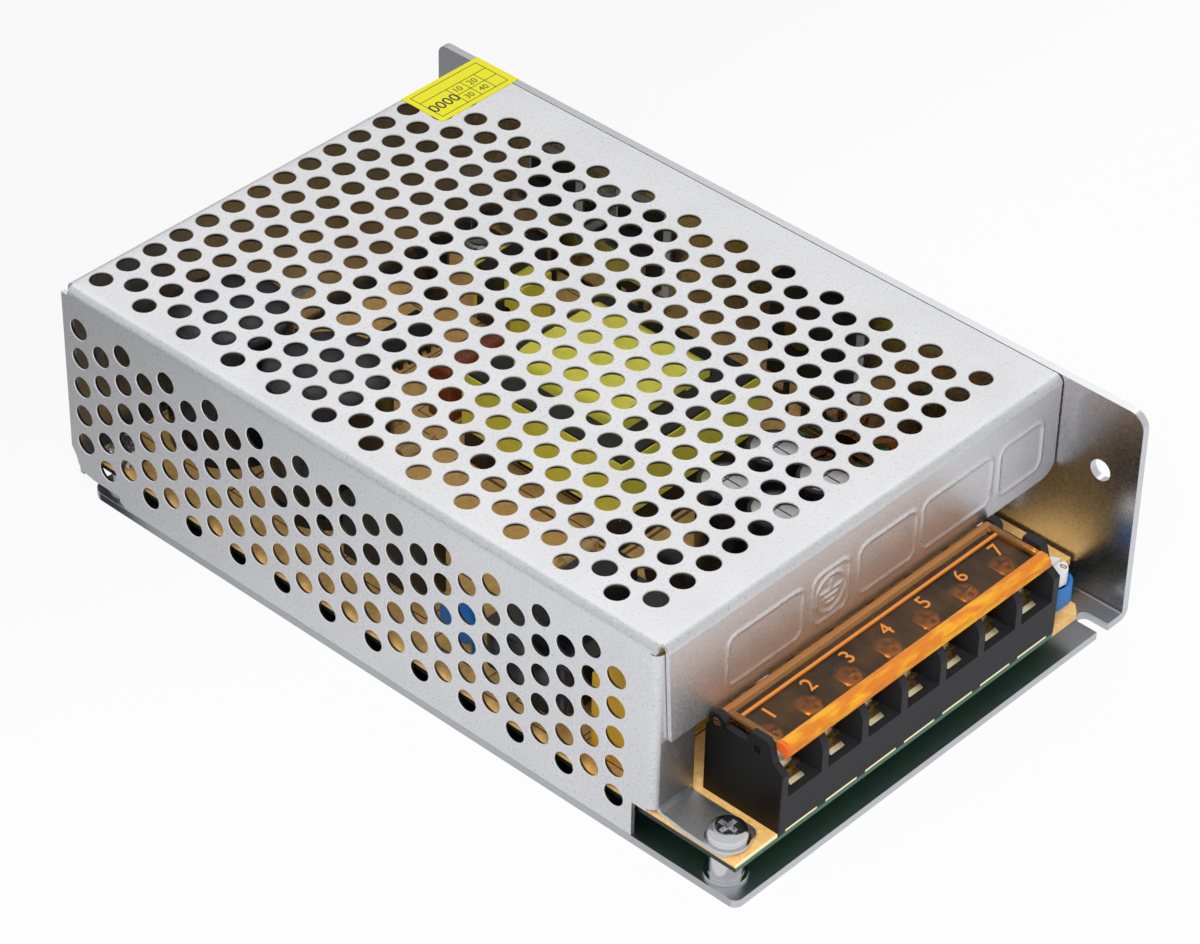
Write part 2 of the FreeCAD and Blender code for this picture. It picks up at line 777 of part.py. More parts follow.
def terminal_screw(centre):
    """Terminal screw with its captive washer, as shipped: backed out a little above the contact."""
    seat = contact_top + clamp_gap + clamp_gauge + 0.02
    washer = rod(terminal_washer_radius, (centre, clamp_screw_y, seat), terminal_washer_height)
    head_seat = seat + terminal_washer_height
    length = terminal_shank_length + terminal_washer_height
    screw = pan_screw(centre, clamp_screw_y, head_seat, terminal_head_radius, terminal_head_height,
                      terminal_shank_radius, length)
    return fuse([screw, washer])


def terminal_lid():
    """Clear lid: flat panel with raised rims, round hinge ridge, two pins and a thick front grip."""
    x0 = block_left + rib_width + lid_gap
    x1 = block_right - rib_width - lid_gap
    top = lid_bottom + lid_gauge
    rim_top = top + lid_rim_height
    panel = box(x0, x1, grip_rear - 0.5, pin_y, lid_bottom, top)
    left_rim = box(x0, x0 + lid_rim_width, grip_rear - 0.5, pin_y, top, rim_top)
    right_rim = box(x1 - lid_rim_width, x1, grip_rear - 0.5, pin_y, top, rim_top)
    ridge = rod(lid_ridge_radius, (x0, pin_y, pin_z), x1 - x0, RIGHT)
    pins = rod(pin_radius, (block_left + 0.1, pin_y, pin_z), block_right - block_left - 0.2, RIGHT)
    outline = [
        (grip_rear, lid_bottom), (grip_front + 0.6, grip_bottom), (grip_front, grip_bottom + 0.7),
        (grip_front + 0.3, grip_top - 0.7), (grip_front + 1.1, grip_top), (grip_rear, grip_top),
    ]
    grip = plate([Vector(x0, y, z) for y, z in outline], RIGHT * (x1 - x0))
    return fuse([panel, left_rim, right_rim, ridge, pins, grip])


def trimmer_centre():
    x = block_right + trimmer_gap + trimmer_width / 2
    return Vector(x, trimmer_front + trimmer_depth / 2, 0)


def trimmer_body():
    """Square housing with a round well for the rotor and a bearing hole."""
    centre = trimmer_centre()
    body = block(centre.x, centre.y, board_top, (trimmer_width, trimmer_depth, trimmer_height))
    body = fillet_along(body, UP, trimmer_corner, lambda c: True)
    top = board_top + trimmer_height
    well = rod(rotor_radius + hole_slack, (centre.x, centre.y, top - rotor_well), rotor_well + overrun)
    stem_bottom = top - rotor_well - rotor_stem_length - hole_slack
    stem_place = (centre.x, centre.y, stem_bottom)
    stem = rod(rotor_stem_radius + rotor_clearance, stem_place, rotor_stem_length + overrun)
    return body.cut(well.fuse(stem))


def trimmer_rotor():
    """White disc with a driver slot, on a stem."""
    centre = trimmer_centre()
    seat = board_top + trimmer_height - rotor_well + 0.05
    disc = rod(rotor_radius, (centre.x, centre.y, seat), rotor_height)
    stem = rod(rotor_stem_radius, (centre.x, centre.y, seat - rotor_stem_length), rotor_stem_length)
    slot = block(centre.x, centre.y, seat + rotor_height - 0.8, (2 * rotor_radius + 1, rotor_slot, 1.0))
    return fuse([disc, stem]).cut(slot)


def date_sticker():
    """Thin label that crosses from the cover's top to the wall's top edge."""
    y1 = cover_length - sticker_from_rear
    return box(wall_outer - sticker_width, wall_outer, y1 - sticker_length, y1,
               case_height, case_height + sticker_gauge)


def x_capacitor():
    size = line_capacitor
    shape = block(along_board_x(0.145), along_board_y(0.115), board_top, size)
    return fillet_along(shape, UP, line_capacitor_corner, lambda c: True)


def line_choke_place():
    return along_board_x(0.165), along_board_y(0.245)


def line_choke_core():
    """Closed ferrite ring that stands on the board, with a leg through each winding."""
    x, y = line_choke_place()
    width, depth, height = line_choke_size
    outer = block(x, y, board_top, (width, choke_leg, height))
    window = block(x, y, board_top + choke_leg, (width - 2 * choke_leg, depth, height - 2 * choke_leg))
    return outer.cut(window)


def line_choke_windings():
    """Two square coils, one round each upright leg of the ring."""
    x, y = line_choke_place()
    width, depth, height = line_choke_size
    coils = []
    for side in (-1, 1):
        centre = x + side * (width - choke_leg) / 2
        low = board_top + choke_leg + choke_slack
        tall = height - 2 * (choke_leg + choke_slack)
        coil = block(centre, y, low, (2 * (choke_leg - choke_slack), depth, tall))
        coil = fillet_along(coil, UP, coil_corner, lambda c: True)
        coils.append(coil.cut(block(centre, y, low - 1, (choke_leg + 0.1, choke_leg + 0.1, tall + 2))))
    return Part.makeCompound(coils)


def can(x, y, radius, height, groove):
    """Electrolytic capacitor: a can with a rolled groove near its foot and a round top edge."""
    body = rod(radius, (x, y, board_top), height)
    rim = [edge for edge in body.Edges if edge.Closed and edge.CenterOfMass.z > board_top + 1]
    body = body.makeFillet(radius * 0.08, rim)
    ring = rod(radius + 1, (x, y, board_top + groove), radius * 0.1)
    return body.cut(ring.cut(rod(radius * 0.94, (x, y, board_top), height)))


def bulk_capacitor(share_y):
    return can(along_board_x(0.225), along_board_y(share_y), bulk_radius, bulk_height, bulk_groove)


def transformer_place():
    return along_board_x(0.635), along_board_y(0.51)


def transformer_core():
    """Two E halves of ferrite that lie flat and meet in the middle."""
    x, y = transformer_place()
    width, length, height = transformer_size
    bottom = board_top + core_lift
    frame = block(x, y, bottom, transformer_size)
    window = (width / 2 - core_leg - core_centre_leg / 2, length - 2 * core_leg, height + 2)
    halves = []
    for side in (-1, 1):
        centre = x + side * (core_centre_leg / 2 + window[0] / 2)
        frame = frame.cut(block(centre, y, bottom - 1, window))
    for side in (-1, 1):
        half = block(x, y + side * length / 4, bottom - overrun, (width, length / 2, height + 2 * overrun))
        halves.append(frame.common(half))
    return Part.makeCompound(halves)


def transformer_winding():
    """Taped coil round the centre leg."""
    x, y = transformer_place()
    width, length, height = transformer_size
    margin = core_leg + winding_slack
    size = (width - 2 * margin, length - 2 * margin, winding_height)
    bottom = board_top + core_lift + height / 2 - winding_height / 2
    coil = fillet_along(block(x, y, bottom, size), REAR, winding_corner, lambda c: True)
    bore = (core_centre_leg + winding_slack, length, height + winding_slack)
    return coil.cut(block(x, y, board_top + core_lift - winding_slack / 2, bore))


def transformer_bobbin():
    """Pin blocks under both ends of the core, joined by a floor under the coil."""
    x, y = transformer_place()
    width, length, height = transformer_size
    floor_top = board_top + core_lift + height / 2 - winding_height / 2 - winding_slack
    floor = block(x, y, board_top, (width - 2 * core_leg, length - 2 * core_leg, floor_top - board_top))
    pieces = [floor]
    for side in (-1, 1):
        centre = y + side * (length - core_leg) / 2
        pieces.append(block(x, centre, board_top, (width, core_leg, core_lift)))
    return fuse(pieces)


def transformer_tape():
    """Band of tape round the outside of the core."""
    x, y = transformer_place()
    width, length, height = transformer_size
    bottom = board_top + core_lift + tape_margin
    tall = height - 2 * tape_margin
    outer = block(x, y, bottom, (width + 2 * tape_gauge, length + 2 * tape_gauge, tall))
    return outer.cut(block(x, y, bottom - 1, (width, length, tall + 2)))


def output_capacitor(index):
    """Output cans stand in two rows of two, in front of the transformer."""
    x = along_board_x(output_can_columns[index % 2])
    y = along_board_y(output_can_rows[index // 2])
    return can(x, y, output_can_radius, output_can_height, output_can_groove)


def output_choke_place():
    return wall_inner - rectifier_gauge - output_choke_from_wall, along_board_y(0.25)


def output_choke_core():
    """Powder ring that lies on the board."""
    x, y = output_choke_place()
    bottom = board_top + 2 * turn_radius
    ring = rod(output_choke_radius, (x, y, bottom), output_choke_height)
    return ring.cut(rod(output_choke_bore, (x, y, bottom - 1), output_choke_height + 2))


def output_choke_winding():
    """Turns of thick wire round the ring: one closed square loop per turn."""
    x, y = output_choke_place()
    bottom = board_top
    top = board_top + output_choke_height + 4 * turn_radius
    gauge = 2 * turn_radius
    inner = output_choke_bore - turn_slack
    outer = output_choke_radius + turn_slack
    turns = []
    for turn in range(turn_count):
        loop = box(inner - gauge, outer + gauge, -turn_radius, turn_radius, bottom, top)
        loop = loop.cut(box(inner, outer, -gauge, gauge, bottom + gauge, top - gauge))
        loop.rotate(Vector(0, 0, 0), UP, 360.0 * (turn + 0.5) / turn_count)
        loop.translate(Vector(x, y, 0))
        turns.append(loop)
    return Part.makeCompound(turns)


def film_capacitor():
    shape = block(along_board_x(0.60), along_board_y(0.735), board_top, film_size)
    upper = [edge for edge in shape.Edges if edge.CenterOfMass.z > board_top + 1]
    return shape.makeFillet(film_corner, upper)


def driver_place():
    return along_board_x(0.83), along_board_y(0.82)


def driver_core():
    x, y = driver_place()
    width, depth, height = driver_size
    bottom = board_top + driver_lift
    ring = block(x, y, bottom, (width, driver_core_depth, height))
    window = (width - 2 * driver_leg, driver_core_depth + 2 * overrun, height - 2 * driver_leg)
    return ring.cut(block(x, y, bottom + driver_leg, window))


def driver_winding():
    """Coil and its foot in the window of the driver transformer's core."""
    x, y = driver_place()
    width, depth, height = driver_size
    low = board_top + driver_lift + driver_leg + driver_slack
    wide = width - 2 * (driver_leg + driver_slack)
    coil = block(x, y, low, (wide, depth, height - 2 * (driver_leg + driver_slack)))
    feet = []
    for side in (-1, 1):
        foot_y = y + side * (depth - driver_leg) / 2
        feet.append(block(x, foot_y, board_top, (wide, driver_leg, low - board_top)))
    return fuse([coil] + feet)


def control_chip():
    """Chip with two rows of legs that stand on the board."""
    x, y = along_board_x(0.58), along_board_y(0.87)
    body = block(x, y, board_top + chip_lift, chip_size)
    pieces = [body]
    for leg in range(chip_legs):
        place = x + (leg - (chip_legs - 1) / 2) * chip_leg_pitch
        for side in (-1, 1):
            reach = (chip_size[1] + chip_leg[1]) / 2
            pieces.append(block(place, y + side * reach, board_top, chip_leg))
    return fuse(pieces)


def bridge_rectifier():
    """Flat slab that stands on its legs, with one corner cut off."""
    x, y = along_board_x(0.125), along_board_y(0.535)
    body = block(x, y, board_top + bridge_lift, bridge_size)
    steps = (-1.5, -0.5, 0.5, 1.5)
    legs = [block(x, y + step * bridge_leg_pitch, board_top, bridge_leg) for step in steps]
    cut = (bridge_size[0] + 2 * overrun, bridge_corner, bridge_corner)
    corner_bottom = board_top + bridge_lift + bridge_size[2] - bridge_corner / 2
    corner = block(x, y + bridge_size[1] / 2, corner_bottom, cut)
    return fuse([body] + legs).cut(corner)


def disc_part(share_x, share_y, radius, gauge):
    """Disc on two short leads, as a disc capacitor or a thermistor."""
    x, y = along_board_x(share_x), along_board_y(share_y)
    disc = rod(radius, (x - gauge / 2, y, board_top + disc_lift + radius), gauge, RIGHT)
    disc = disc.makeFillet(gauge * 0.3, [edge for edge in disc.Edges if edge.Closed])
    reach = radius * 0.6
    leads = [rod(lead_radius, (x, y + side * reach, board_top), disc_lift + reach) for side in (-1, 1)]
    return fuse([disc] + leads)


def fuse_place():
    return along_board_x(0.33), along_board_y(0.095), board_top + fuse_radius + fuse_lift


def fuse_tube():
    x, y, z = fuse_place()
    length = fuse_length - 2 * fuse_cap_length
    return rod(fuse_radius - 0.2, (x, y - length / 2, z), length, REAR)


def fuse_caps():
    """Metal ends of the fuse, each on a clip that stands on the board."""
    x, y, z = fuse_place()
    caps = []
    for side in (-1, 1):
        centre = y + side * (fuse_length - fuse_cap_length) / 2
        cap = rod(fuse_radius, (x, centre - fuse_cap_length / 2, z), fuse_cap_length, REAR)
        clip = block(x, centre, board_top, (2 * fuse_radius, fuse_cap_length - 2, z - board_top))
        caps.append(fuse([cap, clip]))
    return Part.makeCompound(caps)


def resistors():
    """Axial resistors that lie on the board on bent leads."""
    pieces = []
    for share_x, share_y in ((0.40, 0.70), (0.40, 0.76), (0.385, 0.40), (0.285, 0.545)):
        x, y = along_board_x(share_x), along_board_y(share_y)
        height = board_top + resistor_radius + resistor_lift
        body = rod(resistor_radius, (x - resistor_length / 2, y, height), resistor_length, RIGHT)
        span = resistor_length / 2 + resistor_lead
        lead = rod(lead_radius, (x - span, y, height), 2 * span, RIGHT)
        legs = [rod(lead_radius, (x + side * span, y, board_top), height - board_top + lead_radius)
                for side in (-1, 1)]
        pieces.append(fuse([body, lead] + legs))
    return Part.makeCompound(pieces)


def small_capacitor(share_x, share_y):
    x, y = along_board_x(share_x), along_board_y(share_y)
    return can(x, y, small_can_radius, small_can_height, small_can_groove)


def switch_places():
    """Middles of the two switching transistors along the wall."""
    return [along_board_y(0.70), along_board_y(0.86)]


def rectifier_y():
    return along_board_y(0.385)


def heatsink_screw_places():
    """Holes in the wall, as (y, z): one for the clamp bar, one for the rectifier."""
    middle = sum(switch_places()) / 2
    low = board_top + package_lift
    return [
        (middle, low + package_height * bar_share),
        (rectifier_y(), low + rectifier_height * rectifier_screw_share),
    ]


def power_package(y, width, height, gauge):
    """Power package flat against the wall's pad: a body, a thin metal tab above, three legs."""
    face = wall_inner - pad_gauge
    low = board_top + package_lift
    tab = box(face - tab_gauge, face, y - width / 2, y + width / 2, low, low + height)
    body_top = low + height * package_body_share
    body = box(face - gauge, face - tab_gauge, y - width / 2, y + width / 2, low, body_top)
    pieces = [tab, body]
    for leg in (-1, 0, 1):
        leg_x = face - gauge + package_leg_inset
        leg_y = y + leg * width * package_leg_share
        pieces.append(block(leg_x, leg_y, board_top, package_leg + (package_lift,)))
    return fuse(pieces)


def output_rectifier():
    y, z = heatsink_screw_places()[1]
    body = power_package(y, rectifier_width, rectifier_height, rectifier_gauge)
    face = wall_inner - pad_gauge
    half = rectifier_width / 2
    top = board_top + package_lift + rectifier_height
    low = board_top + package_lift + rectifier_height * package_body_share / 2
    fill = box(face - rectifier_gauge, face - tab_gauge, y - half, y + half, low, top)
    place = (face - rectifier_gauge, y, z)
    hole = drill(heatsink_screw_radius + hole_slack, place, rectifier_gauge, RIGHT)
    return fuse([body, fill]).cut(hole)


def insulating_pads():
    """Thin pads between each package and the wall."""
    low = board_top + package_lift - pad_margin
    sizes = [(y, package_width, package_height) for y in switch_places()]
    sizes.append((rectifier_y(), rectifier_width, rectifier_height))
    pads = []
    for y, width, height in sizes:
        half = width / 2 + pad_margin
        high = low + height + 2 * pad_margin
        pads.append(box(wall_inner - pad_gauge, wall_inner, y - half, y + half, low, high))
    hole_y, hole_z = heatsink_screw_places()[1]
    place = (wall_inner - pad_gauge, hole_y, hole_z)
    pads[2] = pads[2].cut(drill(heatsink_screw_radius + hole_slack, place, pad_gauge, RIGHT))
    return Part.makeCompound(pads)


def clamp_bar():
    """Steel bar that presses both switching transistors to the wall."""
    y, z = heatsink_screw_places()[0]
    face = wall_inner - pad_gauge - package_gauge
    half = (switch_places()[1] - switch_places()[0] + package_width) / 2
    bar = box(face - bar_gauge, face, y - half, y + half, z - bar_height / 2, z + bar_height / 2)
    return bar.cut(drill(heatsink_screw_radius + hole_slack, (face - bar_gauge, y, z), bar_gauge, RIGHT))


def heatsink_screws():
    """Screws from inside into the wall, which end flush with its outer face."""
    face = wall_inner - pad_gauge
    seats = [face - package_gauge - bar_gauge, face - rectifier_gauge]
    screws = []
    for seat, (y, z) in zip(seats, heatsink_screw_places()):
        head = rod(heatsink_head_radius, (seat - heatsink_head_height, y, z), heatsink_head_height, RIGHT)
        shank = rod(heatsink_screw_radius, (seat, y, z), wall_outer - hole_slack - seat, RIGHT)
        screws.append(fuse([head, shank]))
    return Part.makeCompound(screws)


def parts_list():
    """Every node's name with its shape."""
    nodes = {
        "chassis": chassis(),
        "cover": cover(),
        "circuit_board": circuit_board(),
        "standoffs": standoffs(),
        "board_screws": board_screws(),
        "screw_washers": screw_washers(),
        "cover_screws": cover_screws(),
        "terminal_block": terminal_block(),
        "terminal_contacts": terminal_contacts(),
        "terminal_lid": terminal_lid(),
        "trimmer_body": trimmer_body(),
        "trimmer_rotor": trimmer_rotor(),
        "date_sticker": date_sticker(),
        "fuse_tube": fuse_tube(),
        "fuse_caps": fuse_caps(),
        "thermistor": disc_part(0.40, 0.245, thermistor_radius, thermistor_gauge),
        "x_capacitor": x_capacitor(),
        "line_choke_core": line_choke_core(),
        "line_choke_windings": line_choke_windings(),
        "blue_capacitor": disc_part(0.08, 0.385, disc_radius, disc_gauge),
        "bridge_rectifier": bridge_rectifier(),
        "bulk_capacitor_front": bulk_capacitor(0.725),
        "bulk_capacitor_rear": bulk_capacitor(0.905),
        "transformer_core": transformer_core(),
        "transformer_winding": transformer_winding(),
        "transformer_bobbin": transformer_bobbin(),
        "transformer_tape": transformer_tape(),
        "output_choke_core": output_choke_core(),
        "output_choke_winding": output_choke_winding(),
        "film_capacitor": film_capacitor(),
        "driver_core": driver_core(),
        "driver_winding": driver_winding(),
        "control_chip": control_chip(),
        "small_capacitor_1": small_capacitor(0.38, 0.93),
        "small_capacitor_2": small_capacitor(0.77, 0.93),
        "output_rectifier": output_rectifier(),
        "insulating_pads": insulating_pads(),
        "clamp_bar": clamp_bar(),
        "heatsink_screws": heatsink_screws(),
        "resistors": resistors(),
    }
    for index, y in enumerate(switch_places(), 1):
        package = power_package(y, package_width, package_height, package_gauge)
        nodes["switch_transistor_%d" % index] = package
    for index in range(4):
        nodes["output_capacitor_%d" % (index + 1)] = output_capacitor(index)
    for way, centre in enumerate(way_centres(), 1):
        nodes["terminal_clamp_%d" % way] = terminal_clamp(centre)
        nodes["terminal_screw_%d" % way] = terminal_screw(centre)
    return nodes


os.makedirs("parts", exist_ok=True)
for name, shape in parts_list().items():
    shape.translate(ORIGIN_SHIFT)
    shape.exportStep("parts/%s.step" % name)
    print("%-24s solids %2d  volume %9.1f mm3" % (name, len(shape.Solids), shape.Volume))
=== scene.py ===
# %% [markdown]
# A switching power supply in a folded aluminium case. The lesson dresses a finished
# model: the sheet metal, the plastics, the screws and the parts that show through the
# punched holes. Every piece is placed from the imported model, so nothing is fitted by eye.

# %% Load the frame
import json
import math

import bmesh
import bpy
import numpy as np
from mathutils import Matrix, Vector


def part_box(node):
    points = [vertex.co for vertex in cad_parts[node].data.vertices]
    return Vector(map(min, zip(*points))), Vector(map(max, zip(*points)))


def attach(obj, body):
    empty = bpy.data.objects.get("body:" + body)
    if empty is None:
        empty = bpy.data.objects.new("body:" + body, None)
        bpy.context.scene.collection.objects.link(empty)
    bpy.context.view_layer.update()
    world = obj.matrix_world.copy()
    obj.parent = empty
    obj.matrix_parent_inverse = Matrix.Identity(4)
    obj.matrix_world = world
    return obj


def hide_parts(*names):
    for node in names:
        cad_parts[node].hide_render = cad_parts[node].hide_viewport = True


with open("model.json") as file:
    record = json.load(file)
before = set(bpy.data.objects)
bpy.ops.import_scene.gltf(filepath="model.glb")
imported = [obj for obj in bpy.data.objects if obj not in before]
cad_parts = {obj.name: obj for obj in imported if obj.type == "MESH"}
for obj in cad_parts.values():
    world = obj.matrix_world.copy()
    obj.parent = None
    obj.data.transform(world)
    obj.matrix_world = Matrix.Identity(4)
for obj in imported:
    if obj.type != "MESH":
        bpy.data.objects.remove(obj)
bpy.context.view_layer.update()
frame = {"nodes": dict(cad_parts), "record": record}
nodes = frame["nodes"]

# %% [markdown]
# The sheet metal is easiest to think of in millimetres from one corner: the cover's left
# face, its front face and the underside of the base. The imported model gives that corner,
# because the base plate reaches a known shelf depth in front of the cover.

# %% One corner to measure from
MM = 0.001
case_low, case_high = (np.array(corner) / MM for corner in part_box("chassis"))
SHELF = 16.5
CORNER = case_low + (0, SHELF, 0)
WIDTH, LENGTH, TOP = case_high - case_low
COVER_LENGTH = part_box("cover")[1].y / MM - CORNER[1]


def span(node):
    """Lowest and highest corner of a node, in millimetres from the case's corner."""
    low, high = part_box(node)
    return np.array(low) / MM - CORNER, np.array(high) / MM - CORNER


print("case", WIDTH, LENGTH, TOP, "cover length", COVER_LENGTH)

# %% [markdown]
# A piece is a list of points and a list of faces. One function turns them into an object
# that sits at the origin with its place in its mesh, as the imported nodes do, shades it
# smooth up to a chosen angle and fixes it to a body.

# %% From arrays to a piece
def placed(name, data):
    """A new object of the scene that holds a mesh, a lamp or a camera."""
    thing = bpy.data.objects.new(name, data)
    bpy.context.scene.collection.objects.link(thing)
    return thing


def smooth_below(mesh, degrees):
    """Shades a mesh smooth, apart from edges that turn by more than an angle."""
    mesh.shade_smooth()
    mesh.set_sharp_from_angle(angle=math.radians(degrees))


def piece(name, points, faces, finish, body="case", replaces=(), slot=None):
    """Makes a mesh from points in millimetres from the corner, and rides it on a body."""
    points = (np.asarray(points, float).reshape(-1, 3) + CORNER) * MM
    mesh = bpy.data.meshes.new(name)
    mesh.from_pydata(points, [], [tuple(face) for face in faces])
    mesh.validate()
    smooth_below(mesh, 35)
    return dress(placed(name, mesh), finish, body, replaces)


def dress(thing, finish, body="case", replaces=()):
    """Gives an object its finish, its body and the nodes that it stands for."""
    for one in finish if isinstance(finish, list) else [finish]:
        thing.data.materials.append(one.material)
    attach(thing, body)
    if replaces:
        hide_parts(*replaces)
    return thing


def grid_faces(rows, columns, wrap=False):
    """Quads between neighbouring points of a grid stored row by row, closed round if wrapped."""
    row = np.arange(rows - 1)[:, None] * columns
    a = np.arange(columns if wrap else columns - 1)[None, :]
    b = (a + 1) % columns
    corners = [row + a, row + b, row + columns + b, row + columns + a]
    return np.stack(corners, -1).reshape(-1, 4)


def join(parts):
    """Joins several (points, faces) pairs into one pair."""
    points, faces, count = [], [], 0
    for some_points, some_faces in parts:
        some_points = np.asarray(some_points, float).reshape(-1, 3)
        points.append(some_points)
        faces += [tuple(int(i) + count for i in face) for face in some_faces]
        count += len(some_points)
    return np.concatenate(points), faces


def round_border(rows, columns):
    """Row and column of each point round a grid of cells, from its low corner, the columns first."""
    low = [(0, i) for i in range(columns)]
    right = [(i, columns) for i in range(rows)]
    high = [(rows, columns - i) for i in range(columns)]
    left = [(rows - i, 0) for i in range(rows)]
    return np.array(low + right + high + left)


def open_edges(faces):
    """Edges that only one face has, each in that face's own direction."""
    edges = {}
    for face in faces:
        for a, b in zip(face, face[1:] + face[:1]):
            if (b, a) in edges:
                del edges[(b, a)]
            else:
                edges[(a, b)] = True
    return list(edges)


# %% [markdown]
# A finish is a small tree of shader nodes. The class below hides the wiring: a value that
# comes out of a node can be added, multiplied and compared like a number.

# %% A few words for shader nodes
class Socket:
    """A value in a shader tree, for ordinary sums, also with the number on the left."""

    def __init__(self, tree, output):
        self.tree = tree
        self.output = output

    def __add__(self, other):
        return self.tree.math("ADD", self, other)

    def __sub__(self, other):
        return self.tree.math("SUBTRACT", self, other)

    def __rsub__(self, other):
        return self.tree.math("SUBTRACT", other, self)

    def __mul__(self, other):
        return self.tree.math("MULTIPLY", self, other)

    def __gt__(self, other):
        return self.tree.math("GREATER_THAN", self, other)

    def __lt__(self, other):
        return self.tree.math("LESS_THAN", self, other)

    __radd__ = __add__
    __rmul__ = __mul__


class Finish:
    """A material that is put together from a few kinds of node."""

    def __init__(self, name, colour=(0.5, 0.5, 0.5), **settings):
        self.material = bpy.data.materials.new(name)
        self.material.use_nodes = True
        self.links = self.material.node_tree.links
        self.shader = self.material.node_tree.nodes["Principled BSDF"]
        self.place = None
        self.set("Base Color", colour)
        for key, value in settings.items():
            self.set(key.replace("_", " ").title().replace("Ior", "IOR"), value)

    def feed(self, socket, value):
        """Puts a number, a colour or another node's output into an input."""
        if isinstance(value, Socket):
            self.links.new(value.output, socket)
        elif isinstance(value, (tuple, list)) and socket.type == "RGBA":
            socket.default_value = tuple(value)[:3] + (1.0,)
        else:
            socket.default_value = value

    def set(self, name, value):
        self.feed(self.shader.inputs[name], value)

    def add(self, kind, settings=None, inputs=None, output=0):
        """Adds a node, fills its settings and inputs, and gives back one of its outputs."""
        node = self.material.node_tree.nodes.new("ShaderNode" + kind)
        for key, value in (settings or {}).items():
            setattr(node, key, value)
        for key, value in (inputs or {}).items():
            self.feed(node.inputs[key], value)
        return Socket(self, node.outputs[output])

    def cover_with(self, second, share):
        """Lays a second shader over the first, by share."""
        first = Socket(self, self.shader.outputs[0])
        both = self.add("MixShader", {}, {0: share, 1: first, 2: second})
        output = self.material.node_tree.nodes["Material Output"]
        self.feed(output.inputs["Surface"], both)

    def tint(self, share, level):
        """Multiplies the base colour by a grey level where the share is one."""
        before = self.shader.inputs["Base Color"].links[0].from_socket
        grey = self.mix(share, (1.0, 1.0, 1.0), (level, level, level))
        settings = {"data_type": "RGBA", "blend_type": "MULTIPLY"}
        inputs = {0: 1.0, 6: Socket(self, before), 7: grey}
        self.set("Base Color", self.add("Mix", settings, inputs, output=2))

    def math(self, operation, *values):
        return self.add("Math", {"operation": operation}, dict(enumerate(values)))

    def larger(self, first, second):
        return self.math("MAXIMUM", first, second)

    def point(self):
        """Place on the object, in metres. It stays the same when the part moves."""
        if self.place is None:
            self.place = self.add("TexCoord", output="Object")
        return self.place

    def axis(self, letter):
        """One coordinate of the place, in millimetres from the case's corner."""
        part = self.add("SeparateXYZ", inputs={0: self.point()}, output="XYZ".index(letter))
        return part * 1000.0 - float(CORNER["XYZ".index(letter)])

    def noise(self, size, detail=2.0, rough=0.5, stretch=(1, 1, 1)):
        """Cloudy value from 0 to 1 whose patches are about size millimetres wide."""
        place = self.add("Mapping", {}, {"Vector": self.point(), "Scale": stretch})
        inputs = {"Vector": place, "Scale": 1000.0 / size, "Detail": detail, "Roughness": rough}
        return self.add("TexNoise", {}, inputs)

    def ramp(self, value, low, high, start=0.0, end=1.0):
        """Value from start to end while the input goes from low to high, held beyond."""
        inputs = {0: value, 1: low, 2: high, 3: start, 4: end}
        return self.add("MapRange", {"interpolation_type": "SMOOTHSTEP"}, inputs)

    def mix(self, share, first, second):
        """Colour between two, by share."""
        inputs = {0: share, 6: first, 7: second}
        return self.add("Mix", {"data_type": "RGBA"}, inputs, output=2)

    def bump(self, height, depth, strength=1.0):
        """Surface relief from a value, where depth is in millimetres."""
        inputs = {"Height": height, "Distance": depth * 0.001, "Strength": strength}
        normal = self.add("Bump", {}, inputs)
        self.set("Normal", normal)
        return normal


# %% [markdown]
# The sheet metal is bare rolled aluminium, with flecks and clouds from noise. Painted shade darkens a few
# zones, and the punched edge at each hole is whitened as a painted highlight on bright metal. A painted
# picture could give this look too, but noise has no seam and follows every fold.

# %% Sheet metal
FOLD_LEFT, FLANGE_LEFT, FLANGE_RIGHT, FLANGE_BACK = 0.9, 1.3, 9.6, 1.8
FOOT_TOP, FLANGE_TOP = 9.4, 22.4
LIP_SKIN, LIP_FLAT_TOP, LIP_FLAT_LOW = 0.05, 40.0, 22.0
BASE_TOP = 2.4


def sheet(name, colour, rough, fleck, depth=0.05):
    """Bare rolled aluminium: fine flecks, faint cloudy handling marks and a soft shine."""
    metal = Finish(name, colour, metallic=1.0)
    grain = metal.noise(0.5, detail=3.0, rough=0.8)
    cloud = metal.noise(14.0, detail=4.0)
    dull = tuple(part * 0.86 for part in colour)
    dark = tuple(part * (1 - fleck) for part in colour)
    tone = metal.mix(metal.ramp(cloud, 0.3, 0.75, 0.0, 0.3), colour, dull)
    tone = metal.mix(metal.ramp(grain, 0.44, 0.34), tone, dark)
    metal.set("Base Color", metal.mix(metal.ramp(grain, 0.56, 0.68) * 0.7, tone, (0.97, 0.97, 0.98)))
    metal.set("Roughness", metal.ramp(grain, 0.35, 0.7, rough, rough + 0.12) + cloud * 0.08)
    metal.bump(metal.noise(0.4, detail=2.0) + cloud * 0.6, depth, 0.35)
    return metal


def cover_finish():
    """Satin cover sheet, with painted shade on the flange and the foot, and the lip's outer face a little
    lighter as painted light.
    """
    cover = sheet("cover sheet metal", (0.81, 0.81, 0.82), 0.38, 0.3)
    wide, deep, height = cover.axis("X"), cover.axis("Y"), cover.axis("Z")
    in_fold = (deep < FLANGE_BACK) * (wide < FLANGE_RIGHT) * (wide > FOLD_LEFT)
    flange = in_fold * (wide > FLANGE_LEFT) * (height > FOOT_TOP) * (height < FLANGE_TOP)
    # Painted shade darkens the flange and the foot; painted light makes the lip's outer face a little
    # lighter.
    cover.tint(flange, 0.58)
    cover.tint(in_fold * (height < FOOT_TOP), 0.86)
    cover.tint((deep < LIP_SKIN) * (height < LIP_FLAT_TOP) * (height > LIP_FLAT_LOW), 1.04)
    return cover


